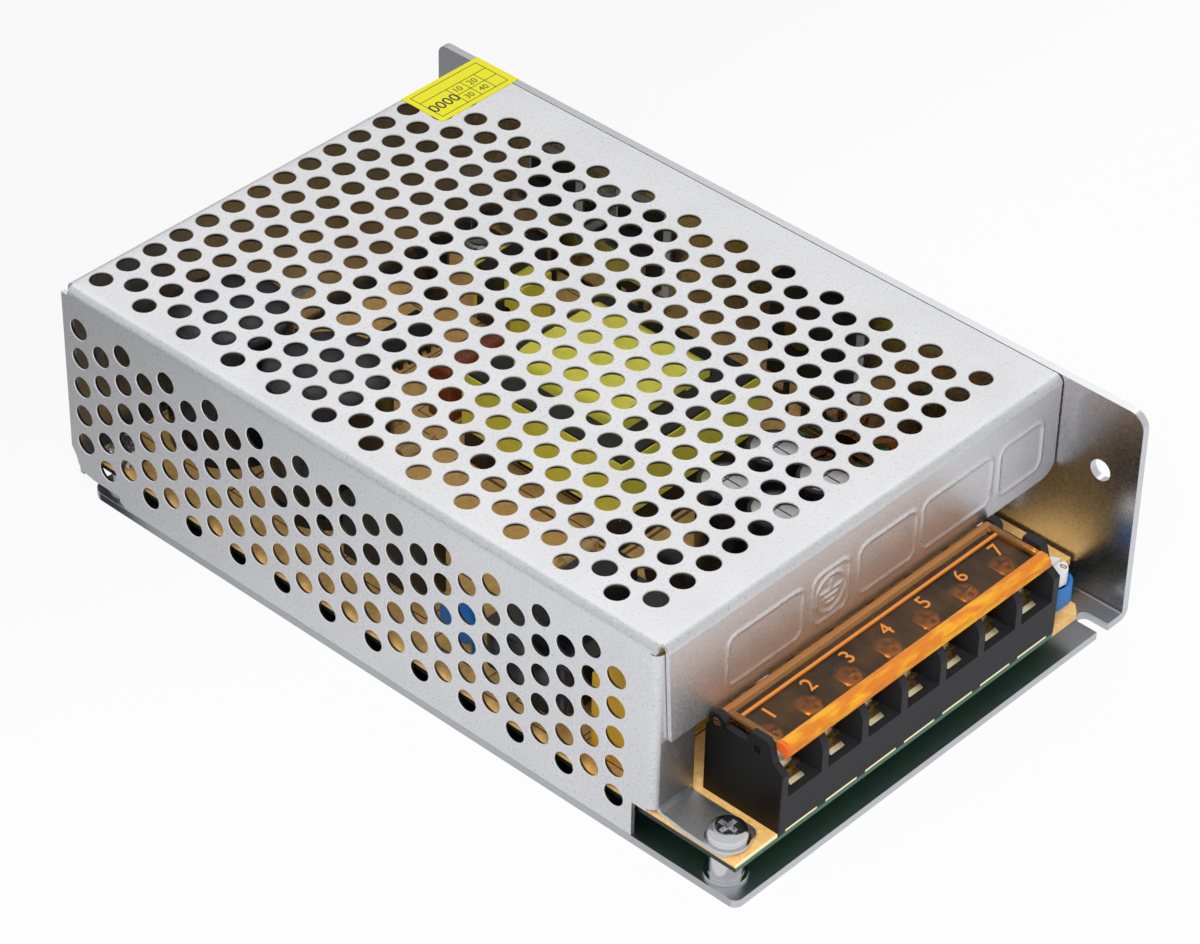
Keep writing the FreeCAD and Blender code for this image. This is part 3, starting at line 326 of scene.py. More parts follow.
def burr_highlight_finish():
    """Rounded edge that the punch leaves, whitened as a painted highlight on the side and darker on the
    top.
    """
    burr_highlight = Finish("punched edge painted highlight", (0.97, 0.97, 0.98), metallic=1.0, roughness=0.45)
    # Painted highlight: near white on the side, darker on the top above 41 mm.
    burr_highlight.set("Base Color", burr_highlight.mix(burr_highlight.axis("Z") > 41.0, (0.97, 0.97, 0.98), (0.62, 0.62, 0.63)))
    return burr_highlight


def chassis_finish():
    """Chassis sheet: a satin base a little darker as painted shade, a wall that mirrors the board, and
    painted shade on the cut edge at the rear left.
    """
    colour = (0.74, 0.74, 0.77)
    metal = sheet("chassis sheet metal", colour, 0.14, 0.2, 0.015)
    height = metal.axis("Z")
    base = height < BASE_TOP
    metal.set("Roughness", 0.24 + 0.04 * base + 0.06 * metal.noise(0.55, detail=3.0))
    towards_rear = metal.ramp(metal.axis("Y"), 112.0, 126.0, 0.25, 1.0)
    # Painted shade: the base's cut edge turns nearly black towards the rear left.
    painted_shade_edge = (metal.axis("X") < 0.06) * (height < 1.45) * towards_rear
    cloud = metal.ramp(metal.noise(14.0, detail=4.0), 0.3, 0.75, 0.0, 0.35)
    tone = metal.mix(cloud, colour, (0.64, 0.64, 0.66))
    metal.set("Base Color", metal.mix(painted_shade_edge, tone, (0.06, 0.06, 0.065)))
    # Painted shade: the base is a little darker than the wall.
    metal.tint(base, 0.95)
    return metal


cover_metal = cover_finish()
burr_highlight_metal = burr_highlight_finish()
chassis_metal = chassis_finish()
print("sheet finishes", [finish.material.name for finish in (cover_metal, burr_highlight_metal, chassis_metal)])

# %% [markdown]
# Plated metals have slight waves, and moulded or wrapped plastics a fine grain. Each colour belongs to the
# part and not to the light on it, apart from the hole walls, which are painted dark as shade. A flat colour
# alone would look drawn, so two functions give the same grain to all of them.

# %% Plain metals and plastics
def plastic(name, colour, rough=0.4, grain=0.25, depth=0.02, **settings):
    """Moulded plastic with a fine grain."""
    moulded = Finish(name, colour, roughness=rough, **settings)
    texture = moulded.noise(grain, detail=2.0)
    moulded.set("Roughness", moulded.ramp(texture, 0.3, 0.7, rough, rough + 0.08))
    moulded.bump(texture, depth, 0.4)
    return moulded


def metal(name, colour, rough=0.2, grain=0.6, depth=0.01):
    """Plated or bare metal with slight waves."""
    plated = Finish(name, colour, metallic=1.0, roughness=rough)
    texture = plated.noise(grain, detail=3.0)
    plated.set("Roughness", plated.ramp(texture, 0.3, 0.7, rough, rough + 0.1))
    plated.bump(texture, depth, 0.5)
    return plated


# Painted shade: the walls inside the punched holes are dark grey.
hole_wall_shade_metal = metal("punched wall painted shade", (0.22, 0.22, 0.23), 0.40)
nickel = metal("nickel plate", (0.50, 0.48, 0.44), 0.28)
bright = metal("bright plate", (0.74, 0.74, 0.76), 0.10)
tin = metal("rolled can top", (0.80, 0.80, 0.81), 0.28, 1.2, 0.02)
brass = metal("brass strip", (0.92, 0.80, 0.48), 0.26, 0.6, 0.002)
copper = metal("varnished copper", (0.72, 0.31, 0.12), 0.25)

sleeve = plastic("black sleeve", (0.012, 0.012, 0.014), 0.22, 3.0, 0.02)
resin = plastic("black resin", (0.016, 0.016, 0.017), 0.5)
ferrite = plastic("ferrite", (0.022, 0.022, 0.024), 0.55, 0.5, 0.03)
tape = plastic("yellow film", (0.95, 0.88, 0.10), 0.25, 4.0, 0.05)
label_yellow = plastic("label yellow", (0.68, 0.64, 0.01), 0.5, 0.6, 0.01, specular_ior_level=0.3)
yellow_box = plastic("yellow box", (0.92, 0.55, 0.03), 0.38)
blue_box = plastic("blue moulding", (0.01, 0.17, 0.55), 0.35)
white_disc = plastic("white moulding", (0.80, 0.80, 0.77), 0.4)
pale_pad = plastic("pale pad", (0.55, 0.56, 0.58), 0.6)
green_ring = plastic("green coating", (0.04, 0.17, 0.10), 0.35)
brown_dip = plastic("brown dip", (0.22, 0.045, 0.015), 0.22, 2.0, 0.05)
tan_coat = plastic("tan coating", (0.62, 0.42, 0.20), 0.4)
print_black = plastic("print black", (0.02, 0.02, 0.02), 0.5)
clear_glass = Finish("fuse glass", (0.95, 0.97, 0.96), roughness=0.03, transmission_weight=1.0)
amber_raised = Finish("amber relief", (0.70, 0.23, 0.03), roughness=0.3)
print("finishes so far", len(bpy.data.materials))

# %% [markdown]
# Three parts change over their own surface: the terminal's moulding is darker on its left end as painted
# shade, the board is bare above and lacquered below, with painted shade and a painted highlight on its
# edges, and the lid's thick edges carry a painted glow. A change is a comparison of the place on the
# object, so no picture has to be fitted to it.

# %% The moulding, the board and the amber lid
BLOCK_END = 11.3
BOARD_FRONT, BOARD_LEFT, BOARD_BARE_END = -14.92, 1.4, 79.0
LACQUER_TOP, EDGE_SHADE_TOP = 6.05, 6.95
GRIP_FRONT, GRIP_BACK = -12.4, -12.1


def block_finish():
    """Black moulding of the terminal block, a little darker on its left end as painted shade."""
    middle, end = (0.018, 0.018, 0.020), (0.002, 0.002, 0.002)
    moulded = plastic("black moulding", middle, 0.42, specular_ior_level=0.22)
    # Painted shade: the left end is nearly black.
    moulded.set("Base Color", moulded.mix(moulded.axis("X") < BLOCK_END, middle, end))
    return moulded


def board_finish():
    """Laminate: tan on top and at its right edge, green lacquered underneath; painted shade makes the lower
    front edge green and the left edge nearly black, and a painted highlight lightens the front edge's upper
    part.
    """
    laminate = Finish("laminate", (0.5, 0.33, 0.12), roughness=0.45)
    wide, deep, height = laminate.axis("X"), laminate.axis("Y"), laminate.axis("Z")
    front = deep < BOARD_FRONT
    left = wide < BOARD_LEFT
    not_right = wide < BOARD_BARE_END
    # Painted shade: the lower front and left edges take the underside's colour, though the laminate's edge
    # is tan all through.
    shaded_low_edge = laminate.larger(front, left) * (height < EDGE_SHADE_TOP) * not_right
    under = laminate.larger(height < LACQUER_TOP, shaded_low_edge)
    weave = laminate.noise(0.9, detail=3.0)
    top = laminate.mix(laminate.ramp(weave, 0.35, 0.65), (0.76, 0.44, 0.14), (0.86, 0.54, 0.20))
    # Painted highlight: the front edge's upper part is lightened to pale gold.
    top = laminate.mix(front * not_right, top, (1.0, 0.86, 0.50))
    # Painted shade: the left edge is nearly black.
    lacquer_and_edge_shade = laminate.mix(left, (0.035, 0.135, 0.080), (0.004, 0.010, 0.007))
    laminate.set("Base Color", laminate.mix(under, top, lacquer_and_edge_shade))
    laminate.set("Roughness", 0.5 - 0.2 * under)
    laminate.bump(weave, 0.02, 0.5)
    return laminate


def amber_finish():
    """Amber plastic: a clear dark panel, and thick edges with an opaque painted glow that stands in for the
    light in them.
    """
    amber = Finish("amber moulding", (0.80, 0.40, 0.05), ior=1.45, transmission_weight=1.0,
                   specular_ior_level=0.05)
    across, wide, height = amber.axis("Y"), amber.axis("X"), amber.axis("Z")
    grip = amber.ramp(across, GRIP_FRONT, GRIP_BACK, 1.0, 0.0)
    ridge_line = amber.ramp(across, -2.4, -2.1) * amber.ramp(height, 22.7, 23.2)
    raised = amber.ramp(height, 22.95, 23.1)
    left_end = (wide < 13.8) * grip
    thick = amber.larger(grip * 0.85, amber.larger(ridge_line * 0.4, raised * 0.2))
    smears = amber.noise(5.0, detail=4.0)
    highlight_patches = amber.ramp(amber.noise(4.0, detail=3.0, stretch=(0.6, 2.5, 2.5)), 0.42, 0.62)
    haze = amber.ramp(smears, 0.35, 0.75, 0.0, 0.04)
    # Painted glow: opaque orange colours stand in for light in the thick amber, with painted highlight
    # patches and deeper red on the ridge line and at the grip's left end.
    glow = amber.mix(highlight_patches, (0.66, 0.17, 0.001), (0.84, 0.40, 0.004))
    glow = amber.mix(ridge_line, glow, (0.80, 0.20, 0.003))
    glow = amber.mix(left_end, glow, (0.80, 0.10, 0.005))
    glow = amber.mix(thick, (0.85, 0.42, 0.15), glow)
    rough = amber.ramp(amber.noise(0.5, detail=2.0, stretch=(0.12, 1, 1)), 0.4, 0.8, 0.05, 0.16)
    amber.set("Roughness", rough)
    normal = amber.bump(smears + highlight_patches * 0.4, 0.06, 0.4)
    inputs = {"Base Color": glow, "Roughness": rough + 0.15, "Normal": normal, "Specular IOR Level": 0.08}
    amber.cover_with(amber.add("BsdfPrincipled", {}, inputs), amber.larger(thick, haze))
    return amber


housing = block_finish()
board_material = board_finish()
amber_clear = amber_finish()
print("finishes in all", len(bpy.data.materials))

# %% [markdown]
# The cover is the piece that makes the look: one thin sheet with more than four hundred
# punched holes that folds over three edges. It is laid out flat as a cross of small cells,
# each hole taking the middle of its own cell, and then folded by a formula. Cutting the
# holes out of a finished sheet would work too, but it leaves long thin faces.

# %% The unfolded cover as two rulers
GAUGE = 0.8
FOLD = 1.5
HOLE = 2.0
RIM = 0.12
FLARE = 0.35
PITCH = 6.0
ROW_PITCH = 5.3
ROWS = 24
TOP_HOLES, SIDE_HOLES = 14, 5
FIRST_HOLE, FIRST_SIDE_HOLE = 5.6, 34.5
LAST_ROW = COVER_LENGTH - 3.8
COVER_RIGHT = WIDTH - 1.7
SHEET_LOW = 1.6
LIP_TOP = 40.2
CELLS_LEFT, CELLS_FRONT, CELLS_LOW = 2.6, 6.65, 2.5
ARC_STEPS = 6


def ruler(*runs):
    """Stops along one direction, each as (kind, value)."""
    return [(kind, float(value)) for kind, values in runs for value in values]


def arc_shares(first, last):
    return np.linspace(first, last, ARC_STEPS + 1)[1:-1]


side_heights = np.concatenate([[SHEET_LOW], np.arange(CELLS_LOW, TOP - FOLD + 0.01, 1.0)])
top_columns = np.concatenate([[FOLD], np.arange(CELLS_LEFT, 95.7, 1.0), [COVER_RIGHT]])
across = ruler(("side", side_heights), ("arc", arc_shares(1, 0)), ("flat", top_columns))
hole_rows = CELLS_FRONT + ROW_PITCH / 4 * np.arange(4 * ROWS)
top_rows = np.concatenate([[FOLD, 2.4, 5.4], hole_rows, [COVER_LENGTH - FOLD]])
along = ruler(
    ("lip", [LIP_TOP, TOP - FOLD]), ("arc", arc_shares(1, 0)), ("flat", top_rows),
    ("rear arc", arc_shares(0, 1)), ("rear", [TOP - FOLD, 30.0, 15.0, SHEET_LOW]),
)
print("stops across", len(across), "and along", len(along))

# %% [markdown]
# Folding gives each stop of a ruler a distance and a drop. A point takes its distances from
# its two stops, and its height is the top less both drops.

# %% The cover folded
STEP_STARTS = [123.2, 123.3, 130.3, 133.3, 133.9, COVER_LENGTH]
STEP_HEIGHTS = [SHEET_LOW, 3.5, 3.5, 4.3, 6.6, 8.3]


def folded(kind, value, depth):
    """Distance from the fold's outer face, and drop below the top's sheet, at a depth in the sheet.

    On an arc of radius r the distance is FOLD - r sin(turn) and the drop is r (1 - cos(turn)).
    """
    inner = FOLD - depth
    if kind == "flat":
        return value, 0.0
    if "arc" in kind:
        turn = value * math.pi / 2
        away = FOLD - inner * math.sin(turn)
        return (COVER_LENGTH - away if kind == "rear arc" else away), inner * (1 - math.cos(turn))
    reach = COVER_LENGTH - depth if kind == "rear" else depth
    return reach, inner + (TOP - FOLD - value)


def beside(kind, value, depth):
    """The same as folded, for the side sheet, which stays flat where the top folds down at the rear."""
    if kind == "rear arc":
        return COVER_LENGTH - FOLD + FOLD * value, 0.0
    if kind == "rear" and value == TOP - FOLD:
        return COVER_LENGTH, 0.0
    return folded(kind, value, depth)


def sheet_points(depth):
    """Points of the whole cross at one depth: the two rulers' drops are added at each crossing."""
    x, drop_x = np.array([folded(kind, value, depth) for kind, value in across]).T
    y, drop_y = np.array([folded(kind, value, depth) for kind, value in along]).T[:, :, None]
    side_y, side_drop = np.array([beside(kind, value, depth) for kind, value in along]).T[:, :, None]
    side = np.array([kind == "side" for kind, value in across])
    y = np.where(side, side_y, y)
    z = TOP - depth - drop_x - np.where(side, side_drop, drop_y)
    z = np.where(side, np.maximum(z, np.interp(y, STEP_STARTS, STEP_HEIGHTS)), z)
    return np.stack([np.broadcast_to(x, z.shape), y, z], -1)


print("points of one skin", sheet_points(0.0).shape)

# %% [markdown]
# Each hole's cell is six columns by four rows. Its twenty border points are joined to
# twenty points on a circle, so the sheet stays one clean mesh.

# %% Holes and their cells
CELL_COLUMNS, CELL_ROWS = 6, 4
RING = 2 * (CELL_COLUMNS + CELL_ROWS)


def hole_cells():
    """First row and first column of each hole's cell, with the hole's centre along the two rulers."""
    flat_start = across.index(("flat", CELLS_LEFT))
    side_start = across.index(("side", CELLS_LOW))
    row_start = along.index(("flat", CELLS_FRONT))
    for row in range(ROWS):
        y = LAST_ROW - ROW_PITCH * row
        first_row = row_start + CELL_ROWS * (ROWS - 1 - row)
        shift = PITCH / 2 * (row % 2)
        for k in range(TOP_HOLES):
            x = FIRST_HOLE + shift + PITCH * k
            yield first_row, flat_start + int(round(x - FIRST_HOLE)), ("flat", x, y)
        for k in range(SIDE_HOLES):
            z = FIRST_SIDE_HOLE - shift - PITCH * k
            yield first_row, side_start + int(round(z - PITCH / 2 - CELLS_LOW)), ("side", z, y)


def circle_points(kind, value, y, radius, depth):
    """Points of a hole's rim in equal turns, radius times cosine and sine, from its cell's low corner."""
    turns = math.atan2(-ROW_PITCH / 2, -PITCH / 2) + 2 * math.pi * np.arange(RING) / RING
    along_u, along_v = radius * np.cos(turns), radius * np.sin(turns)
    if kind == "flat":
        return np.stack([value + along_u, y + along_v, np.full(RING, TOP - depth)], -1)
    return np.stack([np.full(RING, depth), y + along_v, value + along_u], -1)


print("punched holes", len(list(hole_cells())))

# %% [markdown]
# The sheet has an outer and an inner skin, with walls along every edge that only one face
# has. Corners of the cross that aren't sheet are left out.

# %% The perforated mesh
NOTCH_END, SIDE_FRONT, SIDE_FRONT_LOW = 2.3, 5.3, 8.4
SIDE_STEP, SIDE_STEP_LOW = 123.2, 3.4
SLIVER = 1e-7
SKIN, BURR, WALL = 0, 1, 2


def present(row, column):
    """Whether the cell between a row and column and the next ones is sheet at all."""
    row_kind, row_value = along[row]
    next_row = along[row + 1]
    kind, value = across[column]
    next_kind = across[column + 1][0]
    side = kind == "side" and next_kind == "side"
    top = kind == "flat" and next_kind == "flat"
    if row_kind in ("lip", "arc") or next_row == ("flat", FOLD):
        return top
    if row_kind in ("rear arc", "rear") or next_row[0] in ("rear arc", "rear"):
        if side:
            return row_kind in ("flat", "rear arc") and value >= SIDE_STEP_LOW
        return top
    if row_value < NOTCH_END:
        return top or (not side and row_value >= FOLD)
    if side and row_value < SIDE_FRONT:
        return value > SIDE_FRONT_LOW
    if side and row_value > SIDE_STEP:
        return value >= SIDE_STEP_LOW
    return True


def cover_mesh():
    """Outer skin, inner skin and the walls between them, as points, faces and each face's kind."""
    rows, columns = len(along), len(across)
    cells = list(hole_cells())
    taken = np.zeros((rows, columns), bool)
    for first_row, first_column, place in cells:
        taken[first_row:first_row + CELL_ROWS, first_column:first_column + CELL_COLUMNS] = True
    kept = [[present(row, column) for column in range(columns - 1)] for row in range(rows - 1)]
    quads = grid_faces(rows, columns)[(kept & ~taken[:-1, :-1]).ravel()]
    skin = [tuple(face) for face in quads.tolist()]
    start = rows * columns
    around = round_border(CELL_ROWS, CELL_COLUMNS) @ (columns, 1)
    for index, (first_row, first_column, place) in enumerate(cells):
        border = (around + first_row * columns + first_column).tolist()
        rim = start + RING * index
        for i in range(RING):
            j = (i + 1) % RING
            skin.append((border[i], border[j], rim + j, rim + i))
    layers = []
    for depth, radius in ((0.0, HOLE + RIM), (RIM, HOLE), (GAUGE, HOLE + FLARE)):
        circles = [circle_points(*place, radius, depth) for first_row, first_column, place in cells]
        layers.append(np.concatenate([sheet_points(depth).reshape(-1, 3)] + circles))
    count = len(layers[0])
    faces = skin + [tuple(2 * count + i for i in reversed(face)) for face in skin]
    kinds = [SKIN] * len(faces)
    for a, b in open_edges(skin):
        faces.append((b, a, a + count, b + count))
        faces.append((b + count, a + count, a + 2 * count, b + 2 * count))
        kinds += [BURR, WALL] if a >= start else [SKIN, SKIN]
    return trimmed(np.concatenate(layers), faces, kinds)


def trimmed(points, faces, kinds):
    """The same mesh without unused points and without quads that have no area.

    A quad's area is half the length of the cross product of its diagonals.
    """
    faces, kinds = np.array(faces), np.array(kinds)
    a, b, c, d = (points[faces[:, i]] for i in range(4))
    solid = np.linalg.norm(np.cross(c - a, d - b), axis=1) / 2 > SLIVER
    used, renamed = np.unique(faces[solid], return_inverse=True)
    return points[used], renamed.reshape(-1, 4), kinds[solid]


punched_points, punched_faces, punched_kinds = cover_mesh()
print("perforated sheet", len(punched_points), "points", len(punched_faces), "faces")

# %% [markdown]
# The front lip carries stamped frames. Its outer skin is a finer grid, pushed out where the
# distance to a rounded frame is small. Strips laid on the sheet would look glued on, while
# this relief fades out softly, as a stamp's does.

# %% The stamped lip
LIP_LOW, LIP_LEFT, LIP_CORNER = 22.5, 2.7, 3.0
STAMP_HEIGHT = 0.22
FRAMES = [(15.0, 32.5), (35.0, 43.5), (46.0, 60.0), (61.5, 79.0), (81.0, 92.0)]
FRAME_LOW, FRAME_HIGH, FRAME_CORNER = 25.7, 35.5, 1.8
EARTH_FRAME, EARTH_RING, STROKE_HEIGHT = 1, 3.6, 0.9
EARTH_STROKES = [((0, 2.2), (0, 0.6)), ((-2.4, 0.6), (2.4, 0.6)), ((-1.6, -0.6), (1.6, -0.6)),
                 ((-0.8, -1.8), (0.8, -1.8))]


def from_frame(x, z, left, right):
    """Distance to the outline of a rounded frame, negative inside it."""
    reach_x = np.abs(x - (left + right) / 2) - ((right - left) / 2 - FRAME_CORNER)
    reach_z = np.abs(z - (FRAME_LOW + FRAME_HIGH) / 2) - ((FRAME_HIGH - FRAME_LOW) / 2 - FRAME_CORNER)
    outside = np.hypot(np.maximum(reach_x, 0), np.maximum(reach_z, 0))
    return outside + np.minimum(np.maximum(reach_x, reach_z), 0) - FRAME_CORNER


def ridge(distance, half_width=0.34):
    """Smooth ridge that is one on a line and fades to nothing beside it."""
    return np.exp(-(distance / half_width) ** 2)


def segment_distance(x, z, start, end):
    """Distance to a straight stroke."""
    run = np.subtract(end, start)
    share = ((x - start[0]) * run[0] + (z - start[1]) * run[1]) / (run @ run)
    share = np.clip(share, 0, 1)
    return np.hypot(x - start[0] - share * run[0], z - start[1] - share * run[1])


def lip_relief(x, z):
    """Height of the stamping, from nothing to one: five frames, and an earth sign in the second."""
    height = np.zeros_like(x)
    for left, right in FRAMES:
        height = np.maximum(height, ridge(np.abs(from_frame(x, z, left, right))))
    left, right = FRAMES[EARTH_FRAME]
    middle = ((left + right) / 2, (FRAME_LOW + FRAME_HIGH) / 2)
    from_middle = np.hypot(x - middle[0], z - middle[1])
    height = np.maximum(height, ridge(np.abs(from_middle - EARTH_RING)))
    for start, end in EARTH_STROKES:
        stroke = segment_distance(x, z, np.add(middle, start), np.add(middle, end))
        height = np.maximum(height, STROKE_HEIGHT * ridge(stroke, 0.33))
    return height


def lip_mesh(wide=316, tall=60, row_step=6, column_step=9):
    """Fine outer skin, coarse inner skin and the rim between them."""
    right = COVER_RIGHT - 0.1
    x, z = np.meshgrid(np.linspace(FOLD, right, wide), np.linspace(LIP_TOP, LIP_LOW, tall))
    slant = np.interp(z, [LIP_LOW, LIP_TOP], [LIP_LEFT, FOLD])
    above = LIP_LOW + LIP_CORNER - z
    round_off = np.where(above > 0, LIP_CORNER - np.sqrt(np.maximum(0, LIP_CORNER ** 2 - above ** 2)), 0.0)
    share = (x - FOLD) / (right - FOLD)
    x = slant + share * (right - round_off - slant)
    outer = np.stack([x, -STAMP_HEIGHT * lip_relief(x, z), z], -1).reshape(-1, 3)
    inner = np.stack([x, np.full_like(x, GAUGE), z], -1).reshape(-1, 3)
    count = len(outer)
    faces = [tuple(face) for face in grid_faces(tall, wide)[:, ::-1]]
    kept_rows = np.append(np.arange(0, tall, row_step), tall - 1)
    kept = (kept_rows[:, None] * wide + np.arange(0, wide, column_step)) + count
    faces += [tuple(face) for face in kept.ravel()[grid_faces(*kept.shape)]]
    below_top = round_border(tall - 1, wide - 1)[wide - 1:] @ (wide, 1)
    rim = [0] + below_top[::-1].tolist()
    for a, b in zip(rim, rim[1:]):
        faces.append((a, b, b + count, a + count))
    return np.concatenate([outer, inner]), faces


lip_points, lip_faces = lip_mesh()
print("stamped lip", len(lip_points), "points", len(lip_faces), "faces")

# %% [markdown]
# Left of the terminal the side sheet turns inwards as a narrow flange, and its foot lies on
# the board under the corner screw. Like the two tabs inside the right wall, they are
# ribbons: a profile that is thickened.

# %% Flange, foot and the tabs inside the wall
FLANGE_FACE, FLANGE_LOW = 0.9, 9.1
FOOT_BOTTOM, FOOT_FRONT, FOOT_RIGHT, FOOT_CORNER = 7.6, -13.5, 9.0, 2.0
FOOT_COLUMNS = 12
TAB_LOW, TAB_HALF_WIDTH = 33.5, 6.0
TAB_SHARES = (0.22, 0.78)
RADII = (FOLD, FOLD - GAUGE)


def arc_run(centre, radius, first, last, steps=8):
    """Points on an arc in a plane, from one angle to another in degrees."""
    turns = np.radians(np.linspace(first, last, steps + 1))
    return np.stack([centre[0] + radius * np.cos(turns), centre[1] + radius * np.sin(turns)], -1)


def ribbon(lines, gauge_lines):
    """Closed strip between an outer and an inner grid of the same shape."""
    outer, inner = np.asarray(lines, float), np.asarray(gauge_lines, float)
    rows, columns = outer.shape[:2]
    count = rows * columns
    front = grid_faces(rows, columns)
    faces = [tuple(face) for face in front] + [tuple(face) for face in front[:, ::-1] + count]
    border = round_border(rows - 1, columns - 1) @ (columns, 1)
    for a, b in zip(border, np.roll(border, -1)):
        faces.append((b, a, a + count, b + count))
    return np.concatenate([outer.reshape(-1, 3), inner.reshape(-1, 3)]), faces


def flange_mesh():
    """Flange behind the lip, folded from the side sheet."""
    lines = []
    for radius in RADII:
        bow = arc_run((FOLD, FLANGE_FACE + FOLD), radius, 180, 270)
        flat = [(x, FLANGE_FACE + FOLD - radius) for x in (3.5, 6.0, 9.2)]
        plan = np.concatenate([bow, flat])
        lines.append([[(x, y, z) for x, y in plan] for z in (LIP_TOP, 30.0, 20.0, FLANGE_LOW)])
    return ribbon(*lines)


def foot_mesh():
    """Fold at the flange's lower edge and the foot with its round front corners."""
    fold_y, fold_z = FLANGE_FACE + GAUGE - FOLD, FOOT_BOTTOM + FOLD
    straight = [(-1.5, 1.4), (-4.0, 1.1), (-8.0, 1.0)]
    corner_rows = FOOT_FRONT + FOOT_CORNER * (1 - np.sin(np.radians(np.linspace(0, 90, 7))))
    lines = []
    for radius in RADII:
        bow = arc_run((fold_y, fold_z), radius, 0, -90)
        level = bow[-1][1]
        grid = [[(x, y, z) for x in np.linspace(1.5, FOOT_RIGHT, FOOT_COLUMNS)] for y, z in bow]
        for y, left in straight:
            grid.append([(x, y, level) for x in np.linspace(left, FOOT_RIGHT, FOOT_COLUMNS)])
        for y in corner_rows:
            past = FOOT_FRONT + FOOT_CORNER - y
            side = FOOT_CORNER - math.sqrt(max(0.0, FOOT_CORNER ** 2 - past ** 2))
            row = np.linspace(1.0 + side, FOOT_RIGHT - side, FOOT_COLUMNS)
            grid.append([(x, y, level) for x in row])
        lines.append(grid)
    return ribbon(*lines)


def tab_mesh(y):
    """Short tab of the cover that hangs inside the right wall."""
    fold_x = WIDTH - FOLD - 0.1 - FOLD
    lines = []
    for radius in RADII:
        bow = arc_run((fold_x, TOP - FOLD), radius, 90, 0, 6)
        profile = np.concatenate([bow, [(bow[-1][0], TAB_LOW)]])
        places = (y - TAB_HALF_WIDTH, y + TAB_HALF_WIDTH)
        lines.append([[(x, place, z) for x, z in profile] for place in places])
    return ribbon(lines[1], lines[0])


points, faces = join([
    (punched_points, punched_faces), (lip_points, lip_faces), flange_mesh(), foot_mesh(),
    *[tab_mesh(share * COVER_LENGTH) for share in TAB_SHARES],
])
finishes = [cover_metal, burr_highlight_metal, hole_wall_shade_metal]
cover_look = piece("cover_sheet", points, faces, finishes, replaces=["cover"], slot="cover_sheet")
kinds = np.zeros(len(cover_look.data.polygons), np.int32)
kinds[:len(punched_kinds)] = punched_kinds
cover_look.data.polygons.foreach_set("material_index", kinds)
print("cover", len(points), "points", sum(len(face) - 2 for face in faces), "triangles")

# %% [markdown]
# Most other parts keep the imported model's shape. A copy is welded, its flat faces are made
# whole again and its edges get a small round, which is what catches the light.

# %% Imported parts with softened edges
WELD = 2e-6
CREASE = 30
BODIES = frame["record"]["behaviour"]["bodies"]
BODY_OF = {node: body for body, members in BODIES.items() for node in members}


def softened(node, finish, width, segments=2):
    """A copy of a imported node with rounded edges, on the same body."""
    mesh = nodes[node].data.copy()
    mesh.materials.clear()
    work = bmesh.new()
    work.from_mesh(mesh)
    bmesh.ops.remove_doubles(work, verts=work.verts, dist=WELD)
    bmesh.ops.dissolve_limit(work, angle_limit=math.radians(0.5), verts=work.verts, edges=work.edges)
    work.to_mesh(mesh)
    work.free()
    smooth_below(mesh, CREASE)
    thing = placed(node + "_look", mesh)
    if width:
        bevel = thing.modifiers.new("soft edges", "BEVEL")
        bevel.width = width * MM
        bevel.segments = segments
        bevel.limit_method = "ANGLE"
        bevel.angle_limit = math.radians(CREASE)
        bevel.harden_normals = True
    return dress(thing, finish, BODY_OF[node], [node])


def coordinates(mesh):
    """All the points of a mesh as an array, one row each."""
    flat = np.zeros(len(mesh.vertices) * 3, np.float32)
    mesh.vertices.foreach_get("co", flat)
    return flat.reshape(-1, 3)


# %% [markdown]
# The terminal block's front skirt ends level with the board's upper edge, so its small gaps show that edge
# as a row of bright dashes, lightened by a painted highlight. A ruler of heights moves the skirt's edges
# there.

# %% Skirt of the terminal block
SKIRT_FACE, SKIRT_INWARDS = -15.05, 0.25
SKIRT_HEIGHTS, SKIRT_MOVED = (6.0, 6.6, 7.6), (6.95, 7.45, 7.6)


def shifted_skirt(thing):
    """Moves the points in front of a face from one list of heights to another, and a little inwards."""
    mesh = thing.data
    places = coordinates(mesh) / MM - CORNER
    front = (places[:, 1] < SKIRT_FACE) & (places[:, 2] < SKIRT_HEIGHTS[-1])
    places[front, 2] = np.interp(places[front, 2], SKIRT_HEIGHTS, SKIRT_MOVED)
    places[front, 1] += SKIRT_INWARDS
    mesh.vertices.foreach_set("co", ((places + CORNER) * MM).ravel())
    mesh.update()
    print("skirt points moved", int(front.sum()))


softened("chassis", chassis_metal, 0.2, 3)
shifted_skirt(softened("terminal_block", housing, 0.18))

# %% [markdown]
# Each part outside gets its finish and the width of its rounded edges in millimetres: wide
# on a moulded part, narrow on stamped metal, and none on the sticker. Building these parts
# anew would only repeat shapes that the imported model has.

# %% Parts that show outside
WAYS = 7
outside = {
    "circuit_board": (board_material, 0.1), "standoffs": (bright, 0.1), "trimmer_body": (blue_box, 0.2),
    "trimmer_rotor": (white_disc, 0.12), "terminal_contacts": (brass, 0.06), "screw_washers": (bright, 0.1),
    "cover_screws": (nickel, 0.06), "board_screws": (bright, 0.12), "date_sticker": (label_yellow, 0),
    "terminal_lid": (amber_clear, 0.22, 3),
}
for node, (finish, *edge) in outside.items():
    softened(node, finish, *edge)
for way in range(1, WAYS + 1):
    softened("terminal_clamp_%d" % way, brass, 0.1)
    softened("terminal_screw_%d" % way, nickel, 0.12)
print("parts", len(outside), "with", 2 * WAYS, "clamps and screws")

# %% [markdown]
# The parts inside show only through the punched holes, where their colour does the work.
# A plain bevel is enough on their edges, and it keeps the object light.

